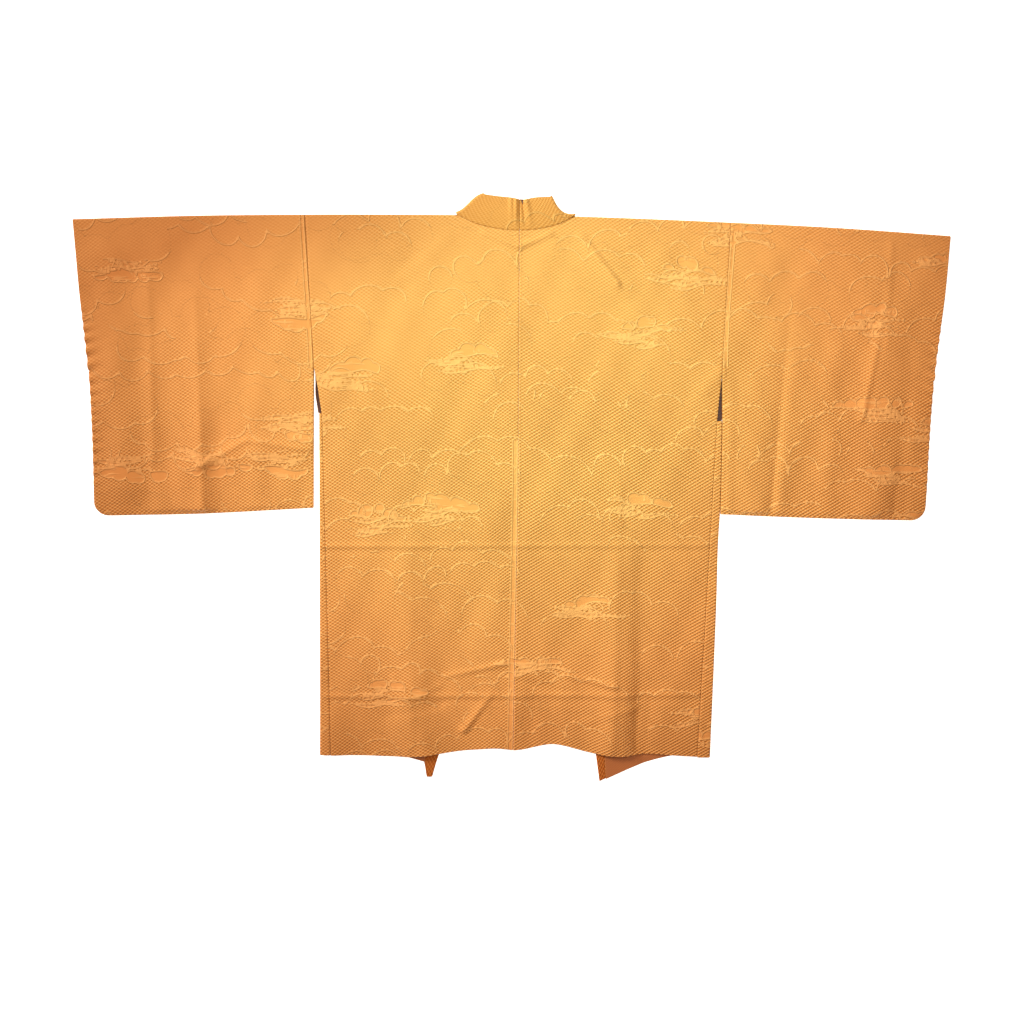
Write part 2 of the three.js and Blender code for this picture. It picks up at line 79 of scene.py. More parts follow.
COLLAR_RISE = 34.7  # highest point of the collar above the neck level
NECK_Y = CAD_BOX[1][1] / MM - COLLAR_RISE  # neck level in the garment's frame
ARMHOLE = 222  # sleeve seam below the shoulder fold
VENT = 73  # open armpit slit below the sleeve seam
CUFF_OPENING = ARMHOLE
SLEEVE_CORNER = 20
LAPEL = 55  # width of the turned-out half of the collar band
LAPEL_BED = 47
LAPEL_STEP = 12
COLLAR_LAP = 2
NECK_CLEARANCE = 2
NECK_DIP = 17.4
COLLAR_TOP = 29
CORNER_INSET = 0.3  # the band's neck corner stands this far inside the body's
FAN_END = -90.0  # level at which the band's fold has fanned out to run beside the front edge
SEAM_END = -816.8  # the centre seam's lower end
PRESSED_TOP = -330  # the pressed strip beside the centre seam runs from here to the hem
CENTRE_STRIP = (4.8, 3.4)  # its middle from the seam, and half its width
SLEEVE_STRIP = (5.2, 2.6)  # likewise for the one beside the sleeve seam
GORE_SHIFT = 37.0  # how far the gore's weave is shifted along against the back's
SLIT_GAP = 0.4  # least gap between the front's side and the sleeve in the armpit slit
FAR = 30.0  # distance in the woven attribute that shows nothing

SHOULDER = ((-651, -3), (-462, 2.2), (-306, 3.6), (-75, 2.9), (93, 0.7), (324, -8), (486, -16), (651, -27.6))
BACK_HEM = (
    (-301, -825), (-222, -826.6), (-165, -827), (-128, -824.4), (-66, -817.5), (-19, -814.4), (2, -816.8),
    (67, -808.7), (122, -820.9), (177, -826.6), (208, -824.1), (255, -826.6), (310, -829.8),
)
CENTRE_SEAM = ((-820, 1.6), (-657, 4.6), (-423, 9.1), (0, 11.2))


class Side(Enum):
    """Wearer's side, as the sign of x."""

    LEFT = -1
    RIGHT = 1


@dataclass(frozen=True)
class Cut:
    """What differs from side to side. Distances run outwards from the middle of the span."""

    side: Side
    neck_x: float
    collar_top: tuple[float, float]
    collar_bow: float
    collar_nick: float
    edge: tuple[tuple[float, float], ...]
    gore_fold: tuple[tuple[float, float], ...]
    sleeve_inner: tuple[tuple[float, float], ...]
    sleeve_outer: tuple[tuple[float, float], ...]
    sleeve_hem: tuple[tuple[float, float], ...]
    front_edge: tuple[float, float]
    front_hem: tuple[tuple[float, float], ...]
    collar_end: tuple[tuple[float, float], ...]
    band_width: tuple[tuple[float, float], ...]
    vent_slack: float  # how far the front stands out in the armpit slit

    @property
    def sign(self) -> int:
        """Sign of x on this side: -1 left, 1 right.

        Returns:
            The sign.
        """
        return self.side.value

    @property
    def name(self) -> str:
        """The side's name, as the nodes have it.

        Returns:
            "left" or "right".
        """
        return self.side.name.lower()


LEFT_CUT = Cut(
    side=Side.LEFT,
    neck_x=82,
    collar_top=(41, 33.6),
    collar_bow=4.7,
    collar_nick=5.3,
    edge=((0, 306.2), (ARMHOLE, 297.6), (ARMHOLE + 28, 292.9), (ARMHOLE + VENT, 287), (828, 283.5)),
    gore_fold=((ARMHOLE + VENT, 291.2), (458, 294.1), (828, 300.8)),
    sleeve_inner=((0, 306.2), (ARMHOLE, 297.6), (439, 302.8)),
    sleeve_outer=((0, 650.7), (111, 644.5), (222, 637.2), (445, 637.5)),
    sleeve_hem=((302, -435.3), (461, -443.8), (638, -447.7)),
    front_edge=(136.4, -838),
    front_hem=((136.4, -838), (164.5, -829.8), (301, -820)),
    collar_end=((110, -861), (134, -862.4), (137, -837), (164.5, -828.5), (301, -819)),
    band_width=((0, 44), (400, 36), (829, 19.5), (862, 10)),
    vent_slack=6,
)
RIGHT_CUT = Cut(
    side=Side.RIGHT,
    neck_x=93,
    collar_top=(57, 30),
    collar_bow=-6,
    collar_nick=3.2,
    edge=((0, 324.3), (ARMHOLE, 315.8), (ARMHOLE + VENT, 309.9), (822, 289.9)),
    gore_fold=((ARMHOLE + VENT, 317.8), (437, 317.6), (470, 316.2), (570, 315.1), (730, 312.3), (822, 310.3)),
    sleeve_inner=((0, 324.3), (ARMHOLE, 315.8), (ARMHOLE + VENT, 318.2), (437, 318.2)),
    sleeve_outer=((0, 650.7), (94, 645.6), (198, 636.8), (428, 630.9)),
    sleeve_hem=((317, -445.4), (470, -451.6), (631, -455.4)),
    front_edge=(147.2, -866),
    front_hem=((147.2, -866), (206.5, -839.6), (257, -826.6), (311, -820)),
    collar_end=((130, -869), (138.3, -869), (147.2, -864.5), (206.5, -838), (311, -819)),
    band_width=((0, 46), (400, 34), (822, 12.5), (869, 9)),
    vent_slack=8,
)


# ---- Arrays and tables -----------------------------------------------------------------------
def lerp(low: Array | float, high: Array | float, share: Array | float) -> Array | float:
    """Straight blend from low to high.

    Args:
        low: Value at share 0.
        high: Value at share 1.
        share: Share of the way.

    Returns:
        The blended value.
    """
    return low + (high - low) * share


def smoothstep(low: float, high: float, at: Array) -> Array:
    """Soft step from 0 at low to 1 at high: 3t^2 - 2t^3 of the clipped share t.

    Args:
        low: Where the step starts.
        high: Where it ends; it may be below low.
        at: Places to read at.

    Returns:
        The step at each place.
    """
    share = np.clip((at - low) / (high - low), 0.0, 1.0)
    return share * share * (3.0 - 2.0 * share)


def bell(away: Array, reach: float) -> Array:
    """Smooth bell of a distance, 1 at none: e to minus the square of distance over reach.

    Args:
        away: Distances from the middle of the bell.
        reach: Distance at which it is down to 37 percent.

    Returns:
        The height of the bell at each distance.
    """
    return np.exp(-((away / reach) ** 2))


def straight(table: tuple[tuple[float, float], ...], at: Array) -> Array:
    """Second column of a sorted table, read at places in its first with straight stretches.

    Args:
        table: Rows of place and value, sorted by place.
        at: Places to read at.

    Returns:
        The values, in the shape of at.
    """
    keys, values = np.array(table, float).T
    return np.interp(at, keys, values)


def curved(table: tuple[tuple[float, float], ...], at: Array) -> Array:
    """Second column of a sorted table, read with cubic stretches that share their slopes.

    Each stretch is the Hermite cubic whose end slopes are the mean slope across each row.

    Args:
        table: Rows of place and value, sorted by place.
        at: Places to read at; beyond the ends the end value holds.

    Returns:
        The values, in the shape of at.
    """
    keys, values = np.array(table, float).T
    slopes = np.gradient(values, keys)
    at = np.clip(at, keys[0], keys[-1])
    row = np.clip(np.searchsorted(keys, at) - 1, 0, len(keys) - 2)
    span = keys[row + 1] - keys[row]
    t = (at - keys[row]) / span
    rise, fall = t * t * (3 - 2 * t), t * (1 - t)
    bend = fall * ((1 - t) * slopes[row] - t * slopes[row + 1]) * span
    return lerp(values[row], values[row + 1], rise) + bend


def graded(length: float, step: float, fine_start: bool = True, fine_end: bool = True) -> Array:
    """Shares from 0 to 1 along a length, a step apart and closer together at its ends.

    Args:
        length: Length in millimetres.
        step: Spacing away from the ends.
        fine_start: Whether the spacing tightens at share 0.
        fine_end: Whether the spacing tightens at share 1.

    Returns:
        The sorted shares.
    """
    close = np.array([0.6, 1.3, 2.1, 3.1, 4.4, 6.0, 8.0])
    low = close[-1] if fine_start else 0.0
    high = length - (close[-1] if fine_end else 0.0)
    middle = np.linspace(low, high, max(2, round((high - low) / step) + 1))
    ends = [np.zeros(1)] if fine_start else []
    if fine_start:
        ends.append(close[:-1])
    ends.append(middle)
    if fine_end:
        ends += [length - close[-2::-1], np.array([length])]
    return np.concatenate(ends) / length


def joined(*stretches: tuple[float, float, Array]) -> Array:
    """Shares of several stretches, each from its own start to its own end, end to end.

    Args:
        stretches: Start, end and shares of each stretch.

    Returns:
        The shares of all of them, with each joint once.
    """
    parts = [lerp(start, end, shares) for start, end, shares in stretches]
    return np.concatenate([parts[0]] + [part[1:] for part in parts[1:]])


# ---- Folds -----------------------------------------------------------------------------------
@dataclass(frozen=True)
class Fold:
    """A soft ridge, or a trough where its rise is negative, along a straight line."""

    name: str
    start: tuple[float, float]
    rise0: float
    end: tuple[float, float]
    rise1: float
    reach: float
    left_reach: float = 0.0  # reach on the side of smaller x, where it differs
    crisp: bool = False  # sharp crest

    def lift(self, x: Array, y: Array) -> Array:
        """Height that the fold gives: a cosine bell of the distance to its line.

        A crisp fold has the square of the remaining distance to its foot instead.
        Its height goes from rise0 to rise1, and each side of the line may have its own reach.

        Args:
            x: Places across the garment.
            y: Places above the neck level.

        Returns:
            The height at each place.
        """
        run = np.subtract(self.end, self.start)
        dx, dy = x - self.start[0], y - self.start[1]
        share = np.clip((dx * run[0] + dy * run[1]) / run.dot(run), 0, 1)
        away = np.hypot(dx - share * run[0], dy - share * run[1])
        on_left = (dx * run[1] - dy * run[0]) * np.sign(run[1] or 1.0) < 0
        reach = np.where(on_left, self.left_reach or self.reach, self.reach)
        far = np.minimum(away / reach, 1)
        profile = (1 - far) ** 2 if self.crisp else (1 + np.cos(np.pi * far)) / 2
        return profile * lerp(self.rise0, self.rise1, share)


LARGE_FOLDS = (
    Fold("left hem flute", (-172, -470), 0, (-140, -826), 9, 58),
    Fold("right hem flute", (172, -400), 0, (168, -824), 9, 34, 66),
    Fold("centre ridge", (9, -520), 0, (2, -812), 4, 34),
    Fold("left hem corner", (-270, -700), 0, (-286, -824), 4, 40),
    Fold("left sleeve fall", (-484, -110), 0, (-488, -430), 6, 46),
    Fold("left sleeve drag", (-475, -363), 3, (-318, -338), 2, 34),
    Fold("left cuff fall", (-600, -60), 2, (-590, -400), 4, 40),
    Fold("right sleeve fall", (408, -150), 0, (380, -436), 6, 64, 70),
    Fold("right cuff fall", (566, -120), 1, (548, -438), 4, 46),
    Fold("right shoulder drag", (106, -34), 1, (168, -98), 3, 32),
)

CREASES = (
    Fold("storage crease, back", (-292, -494), 2.0, (305, -492), 1.7, 7, crisp=True),
    Fold("storage crease, back, under", (-292, -503), -0.5, (305, -501), -0.4, 9),
    Fold("storage crease, skirt", (-290, -731), 1.9, (290, -728), 1.9, 8, crisp=True),
    Fold("storage crease, skirt, under", (-290, -740), -0.5, (290, -738), -0.5, 9),
    Fold("right body fall", (163, -400), 1.0, (156, -815), 2.4, 14, 26),
    Fold("right body trough", (196, -440), 0, (200, -815), -2.2, 34, 16),
    Fold("left body fall", (-156, -400), 0.3, (-160, -812), 1.6, 16, 40),
    Fold("left body trough", (-120, -440), 0, (-124, -812), -1.6, 34, 22),
    Fold("centre fall", (-22, -330), 0.4, (-30, -812), 2.6, 26, 50),
    Fold("right inner fall", (70, -600), 0, (60, -800), -2.0, 24),
    Fold("left hem wrinkle, upright", (-75, -786), 5.0, (-34, -730), 2.2, 9, 14, crisp=True),
    Fold("left hem wrinkle, hook", (-184, -700), 1.4, (-163, -733), 2.2, 9),
    Fold("left hem wrinkle, level", (-155, -735), 1.2, (-112, -713), 1.0, 9),
    Fold("left hip wrinkle", (-102, -699), 1.9, (-12, -678), 3.7, 9, crisp=True),
    Fold("left hem trough", (-196, -762), -0.6, (-110, -744), -1.4, 12),
    Fold("right hip trough", (10, -706), -1.2, (86, -724), -0.8, 9),
    Fold("right hip wrinkle", (84, -698), 2.0, (160, -714), 3.7, 9, crisp=True),
    Fold("right hem wrinkle", (96, -778), 0.6, (196, -748), 1.2, 10),
    Fold("sleeve drag line, left", (-476, -372), 3.7, (-404, -332), 2.5, 9, crisp=True),
    Fold("sleeve drag line, left, outer", (-400, -331), 2.5, (-306, -346), 2.2, 9, crisp=True),
    Fold("left sleeve crest", (-472, -116), 1.6, (-470, -436), 5.4, 30, 26, crisp=True),
    Fold("left sleeve outer crest", (-541, -90), 1.4, (-543, -360), 2.0, 12, 24, crisp=True),
    Fold("left sleeve second fall", (-540, -220), 0.4, (-536, -436), 1.8, 20),
    Fold("left sleeve inner fall", (-380, -90), 0.3, (-388, -430), 1.6, 24),
    Fold("right sleeve valley", (417, -120), -0.8, (395, -440), -6.2, 17, 46, crisp=True),
    Fold("right cuff crest", (557, -130), 1.0, (529, -300), 3.0, 8, 15, crisp=True),
    Fold("right cuff line", (564, -40), 0.9, (562, -190), 0.7, 6, 12),
    Fold("right sleeve second fall", (486, -120), 0.4, (478, -440), 1.8, 22),
    Fold("right sleeve inner crease", (330, -240), 0.8, (330, -440), 1.4, 12),
    Fold("right cuff trough", (596, -200), -0.4, (590, -440), -1.8, 18),
    Fold("shoulder drag line", (104, -27), 1.9, (158, -97), 5.3, 7, 16, crisp=True),
    Fold("left shoulder drag", (-96, -30), 0.3, (-170, -96), 0.9, 16),
    Fold("neck ridge, left", (-42, -22), 2.5, (8, -42), 4.0, 9, crisp=True),
    Fold("neck ridge, right", (14, -42), 4.0, (58, -24), 2.2, 9, crisp=True),
    Fold("left armhole drag", (-300, -228), 1.2, (-236, -300), 0.2, 16),
    Fold("right armhole drag", (314, -228), 1.2, (256, -292), 0.2, 16),
    Fold("left sleeve hem wrinkle", (-560, -404), 0.8, (-500, -432), 0.3, 9),
    Fold("right sleeve hem wrinkle", (500, -410), 0.8, (560, -440), 0.3, 9),
)


def pucker_lift(edge: Array, depth: Array) -> Array:
    """Small gathers along a cuff: sine ripples down the edge that die away inwards.

    The pitch and height of the ripples drift slowly down the sleeve.

    Args:
        edge: Distances from the cuff's edge.
        depth: Distances below the shoulder fold.

    Returns:
        The height at each place.
    """
    fade = np.exp(-np.clip(edge, 0, None) / 8.0) * smoothstep(110, 170, depth) * smoothstep(420, 360, depth)
    drift = 2.5 * np.sin(depth / 61.0) + 1.7 * np.sin(depth / 23.0)
    return 2.7 * fade * np.sin(2 * np.pi * depth / 16.0 + drift + edge / 9.0)


def soft_lift(x: Array, y: Array) -> Array:
    """Slow unevenness of cloth that lies loose: a sum of long skewed sine waves.

    Args:
        x: Places across the garment.
        y: Places above the neck level.

    Returns:
        The height at each place.
    """
    waves = (
        (0.55, 147.0, 310.0, 0.4),
        (0.40, 83.0, -190.0, 2.1),
        (0.28, -57.0, 120.0, 4.0),
        (0.18, 39.0, 77.0, 1.2),
    )
    lift = np.zeros_like(x)
    for height, across, down, phase in waves:
        lift += height * np.sin(2 * np.pi * (x / across + y / down) + phase)
    return lift


def cloth_lift(x: Array, y: Array) -> Array:
    """Height of the upper layer above its flat level: its folds and creases.

    The soft waves fade out at the shoulder fold, so that the fold stays even, and the total is
    kept above zero, so that the layer clears the one below.

    Args:
        x: Places across the garment.
        y: Places above the neck level.

    Returns:
        The height at each place.
    """
    shoulder = curved(SHOULDER, x)
    loose = smoothstep(0, -60, y - shoulder)
    lift = loose * (1.5 + soft_lift(x, y))
    for fold in LARGE_FOLDS + CREASES:
        lift = lift + fold.lift(x, y)
    return np.maximum(lift, 0.0) * smoothstep(0, -6, y - shoulder)


# ---- Shells ----------------------------------------------------------------------------------
@dataclass
class Surface:
    """A middle surface: points, their places on the flat cloth, and its four-point cells."""

    points: Array  # (n, 3) in millimetres
    cloth: Array  # (n, 2) place on the cut cloth in millimetres
    cells: Array  # (m, 4) point numbers
    band: Array | None = None  # (n,) signed distance to the pressed bands beside the seams

    def area(self) -> float:
        """Area in square metres: half the diagonals' cross product, summed over the cells.

        Returns:
            The area.
        """
        a, b, c, d = (self.points[self.cells[:, k]] for k in range(4))
        return float(np.linalg.norm(np.cross(c - a, d - b), axis=1).sum() / 2 * MM * MM)


def grid_cells(rows: int, columns: int, keep: Array | None = None) -> Array:
    """Cells of a grid whose points are numbered row by row.

    Args:
        rows: Points down.
        columns: Points across.
        keep: Which of the (rows - 1, columns - 1) cells are cloth; all of them if None.

    Returns:
        The kept cells as point numbers.
    """
    number = np.arange(rows * columns).reshape(rows, columns)
    cells = np.stack([number[:-1, :-1], number[:-1, 1:], number[1:, 1:], number[1:, :-1]], axis=-1)
    return cells[keep] if keep is not None else cells.reshape(-1, 4)


def shell_mesh(name: str, surface: Surface) -> bpy.types.Mesh:
    """Closed thin wall around a middle surface, with softly bulged edges.

    Every point moves half the wall to each side along its normal, the sum of its cells' area
    vectors. Along the border one more row of points, pushed outwards in the surface by RIM,
    joins the two sides. The outer side's cells have material 0 and the inner side's material 1.

    Args:
        name: Name of the mesh.
        surface: The middle surface.

    Returns:
        The mesh, with the map cloth in metres of flat cloth.
    """
    used, cells = np.unique(surface.cells, return_inverse=True)
    cells = cells.reshape(-1, 4)
    points, cloth = surface.points[used], surface.cloth[used]
    count = len(points)
    a, b, c, d = (points[cells[:, k]] for k in range(4))
    area = np.cross(c - a, d - b)
    if area[np.argmax(a[:, 2]), 2] < 0:
        cells, area = cells[:, ::-1], -area
    normals = np.zeros_like(points)
    for k in range(4):
        np.add.at(normals, cells[:, k], area)
    normals /= np.linalg.norm(normals, axis=1, keepdims=True)

    edges = np.concatenate([cells[:, [k, (k + 1) % 4]] for k in range(4)])
    forward = edges[:, 0].astype(np.int64) * count + edges[:, 1]
    backward = edges[:, 1].astype(np.int64) * count + edges[:, 0]
    border = edges[~np.isin(forward, backward)]
    run = points[border[:, 1]] - points[border[:, 0]]
    push = np.zeros_like(points)
    away = np.cross(run, normals[border[:, 0]] + normals[border[:, 1]])
    away /= np.maximum(np.linalg.norm(away, axis=1, keepdims=True), 1e-9)
    for k in range(2):
        np.add.at(push, border[:, k], away)
    rim_nodes = np.unique(border)
    push = push[rim_nodes] / np.linalg.norm(push[rim_nodes], axis=1, keepdims=True)
    rim_number = np.zeros(count, int)
    rim_number[rim_nodes] = 2 * count + np.arange(len(rim_nodes))

    vertices = np.concatenate([
        points + normals * WALL / 2,
        points - normals * WALL / 2,
        points[rim_nodes] + push * RIM,
    ])
    places = np.concatenate([cloth, cloth, cloth[rim_nodes]])
    tail, head = border[:, 0], border[:, 1]
    upper_rim = np.stack([head, tail, rim_number[tail], rim_number[head]], axis=1)
    lower_rim = np.stack([rim_number[head], rim_number[tail], tail + count, head + count], axis=1)
    quads = np.concatenate([cells, cells[:, ::-1] + count, upper_rim, lower_rim])
    slots = np.repeat([0, 1, 0, 0], [len(cells), len(cells), len(border), len(border)])
    p, q, r, s = (vertices[quads[:, k]] for k in range(4))
    if np.einsum("ij,ij->", p + q + r + s, np.cross(r - p, s - q)) < 0:
        quads = quads[:, ::-1]
    vertices[:, 1] += NECK_Y
    mesh = bpy.data.meshes.new(name)
    mesh.vertices.add(len(vertices))
    mesh.vertices.foreach_set("co", (vertices * MM).astype(np.float32).ravel())
    mesh.loops.add(quads.size)
    mesh.loops.foreach_set("vertex_index", quads.ravel().astype(np.int32))
    mesh.polygons.add(len(quads))
    mesh.polygons.foreach_set("loop_start", np.arange(0, quads.size, 4, dtype=np.int32))
    mesh.polygons.foreach_set("material_index", slots.astype(np.int32))
    mesh.polygons.foreach_set("use_smooth", np.ones(len(quads), bool))
    mesh.update(calc_edges=True)
    layer = mesh.uv_layers.new(name="cloth")
    layer.data.foreach_set("uv", (places[quads.ravel()] * MM).astype(np.float32).ravel())
    fields = woven_fields(places)
    if surface.band is not None:
        band = surface.band[used]
        band = np.concatenate([band, band, band[rim_nodes]])
        fields[:, Weave.SATIN.value] = np.minimum(fields[:, Weave.SATIN.value], band)
    attribute = mesh.attributes.new("woven", "FLOAT_VECTOR", "POINT")
    attribute.data.foreach_set("vector", fields.astype(np.float32).ravel())
    mesh.validate()
    return mesh


# ---- Woven clouds ----------------------------------------------------------------------------
class Weave(Enum):
    """How a woven cloud shows, as its place in the woven attribute."""

    LINE = 0
    SECOND_LINE = 1
    SATIN = 2


@dataclass(frozen=True)
class Lobe:
    """One round lobe of a cloud."""

    x: float
    y: float
    radius: float


@dataclass(frozen=True)
class Cloud:
    """A cloud of round lobes on a level base, or hanging from it where up is -1."""

    weave: Weave
    x: float
    y: float
    up: int
    lobes: tuple[Lobe, ...]
    reach: float

    def distance(self, u: Array, v: Array) -> Array:
        """Signed distance to the cloud's edge, negative inside.

        It is the least distance to a lobe's circle. On a satin cloud the base cuts it off level.
        On a line cloud it grows ever steeper below the base, so that a line of even width drawn
        where it is zero thins out to nothing there.

        Args:
            u: Places across the cloth, in millimetres.
            v: Places along the cloth.

        Returns:
            The distances in millimetres.
        """
        across = u - self.x + 3.5 * np.sin(v / 17.0 + self.x)
        above = (v - self.y) * self.up + 4.0 * np.sin(u / 25.0 + self.y)
        away = np.full(across.shape, 1e3)
        for lobe in self.lobes:
            away = np.minimum(away, np.hypot(across - lobe.x, above - lobe.y) - lobe.radius)
        if self.weave is Weave.SATIN:
            return np.maximum(away, -above + 2.0 * np.sin(across / 9.0))
        return away * (1 + 60 * smoothstep(2.0, -14.0, above))


def scatter_clouds(seed: int) -> tuple[Cloud, ...]:
    """Clouds of this garment's own layout, drawn with a fixed seed.

    Places are a slanted lattice with each point pushed about. A place holds a line cloud, a pair
    of line clouds, or a satin cloud with mist bands under it. Lobes stand side by side along the
    base and are largest in the middle.

    Args:
        seed: Seed of the random draws.

    Returns:
        The clouds.
    """
    draw = np.random.default_rng(seed)
    clouds: list[Cloud] = []

    def add(weave: Weave, x: float, y: float, up: int, width: float, tall: float) -> None:
        """Appends one cloud of a width and height at a place.

        Args:
            weave: The set it belongs to.
            x: Its place across.
            y: Its place above the neck level.
            up: 1 with the lobes up, -1 with them down.
            width: Its width.
            tall: Its height.
        """
        pitch = 17 if weave is Weave.SATIN else 38
        count = int(np.clip(round(width / pitch), 2, 7))
        centres = (np.arange(count) + 0.5) / count - 0.5 + draw.uniform(-0.07, 0.07, count)
        crown = np.clip(1 - (2 * centres) ** 2 * draw.uniform(0.55, 0.95), 0.18, 1)
        radii = width / count * draw.uniform(0.42, 0.88, count)
        lobes = tuple(
            Lobe(float(c * width), float(tall * k - r), float(r))
            for c, k, r in zip(centres, crown, radii)
        )
        clouds.append(Cloud(weave, x, y, up, lobes, width * 0.75 + 30))

    def add_mist(x: float, y: float, up: int, width: float) -> None:
        """Appends a thin satin band made of small overlapping lobes.

        Args:
            x: Its place across.
            y: Its place above the neck level.
            up: 1 with the lobes up, -1 with them down.
            width: Its width.
        """
        count = int(width / 7)
        lobes = tuple(
            Lobe(float(s * width), 0.0, float(1.2 + 3.4 * (1 - (2 * s) ** 2) * draw.uniform(0.8, 1.1)))
            for s in np.linspace(-0.5, 0.5, count)
        )
        clouds.append(Cloud(Weave.SATIN, x, y - up * 1.5, up, lobes, width * 0.6 + 12))

    pitch_x, pitch_y = 104.0, 74.0  # of the places
    for row in range(-14, 15):
        for column in range(-7, 8):
            x = (column + 0.5 * (row % 2) + draw.uniform(-0.26, 0.26)) * pitch_x
            y = (row + draw.uniform(-0.3, 0.3)) * pitch_y
            up = -1 if x < -306 else 1
            kind = draw.uniform()
            width = draw.uniform(84, 172)
            tall = draw.uniform(20, 36)
            if kind < 0.27:
                add(Weave.SATIN, x, y, up, width * 0.7, tall * 0.62)
                add(Weave.LINE, x - 22, y - up * 30, up, width * 1.05, tall)
                for step in range(4):
                    shift = draw.uniform(-30, 30)
                    add_mist(x + shift - 10, y - up * (1 + 6.5 * step), up, draw.uniform(44, 104))
            elif kind < 0.66:
                add(Weave.LINE, x, y, up, width, tall)
                add(Weave.SECOND_LINE, x + draw.uniform(-46, 46), y - up * 24, up, width * 0.8, tall)
            elif kind < 0.9:
                weave = Weave.LINE if row % 2 else Weave.SECOND_LINE
                add(weave, x, y, up, width, tall)
    return tuple(clouds)


CLOUDS = scatter_clouds(seed=37)


def woven_fields(places: Array) -> Array:
    """Signed distance from each place on the cloth to the edges of the woven clouds.

    Args:
        places: (n, 2) places on the flat cloth in millimetres.

    Returns:
        (n, 3) distances in millimetres, one column for each kind of Weave.
    """
    fields = np.full((len(places), len(Weave)), FAR)
    u, v = places.T
    order = np.argsort(u, kind="stable")
    sorted_u = u[order]
    for cloud in CLOUDS:
        low, high = np.searchsorted(sorted_u, [cloud.x - cloud.reach, cloud.x + cloud.reach])
        near = order[low:high]
        near = near[np.abs(v[near] - cloud.y) < cloud.reach]
        if len(near):
            column = cloud.weave.value
            away = cloud.distance(u[near], v[near])
            fields[near, column] = np.minimum(fields[near, column], away)
    return fields


# ---- Lines of the pattern --------------------------------------------------------------------
def neck_seam(cut: Cut, x: Array) -> Array:
    """Height of the neck seam: a parabola from the centre dip up to the neck corner.

    Args:
        cut: The side's cut.
        x: Signed places across.

    Returns:
        The height above the neck level.
    """
    corner = cut.sign * cut.neck_x
    centre = float(straight(CENTRE_SEAM, 0.0))
    share = (x - centre) / (corner - centre)
    return lerp(-NECK_DIP, float(curved(SHOULDER, corner)), share * share)


def front_edge(cut: Cut, y: Array) -> Array:
    """Distance of the collar seam from the middle: straight from neck corner to hem.

    Args:
        cut: The side's cut.
        y: Places above the neck level.

    Returns:
        The distance outwards.
    """
    return lerp(cut.neck_x, cut.front_edge[0], y / cut.front_edge[1])


def strip_distance(away: Array, strip: tuple[float, float]) -> Array:
    """Signed distance to a pressed strip beside a seam, below zero inside it.

    Args:
        away: Distances from the seam.
        strip: Distance of the strip's middle from the seam, and half its width.

    Returns:
        The distance at each place.
    """
    return np.abs(away - strip[0]) - strip[1]


def half_turn(steps: int) -> Array:
    """Angles inside a half turn that is cut into equal steps.

    Args:
        steps: Number of steps.

    Returns:
        The angles, without 0 and the half turn itself.
    """
    return np.pi * np.arange(1, steps) / steps


def folded_height(turn: Array, upper: Array, lower: Array) -> Array:
    """Height of a fold that turns by half a circle from an upper level to a lower one.

    Args:
        turn: Angle of the turn, 0 at the upper level.
        upper: The upper level.
        lower: The lower level.

    Returns:
        The height at each angle.
    """
    return (upper + lower) / 2 + np.cos(turn) * (upper - lower) / 2


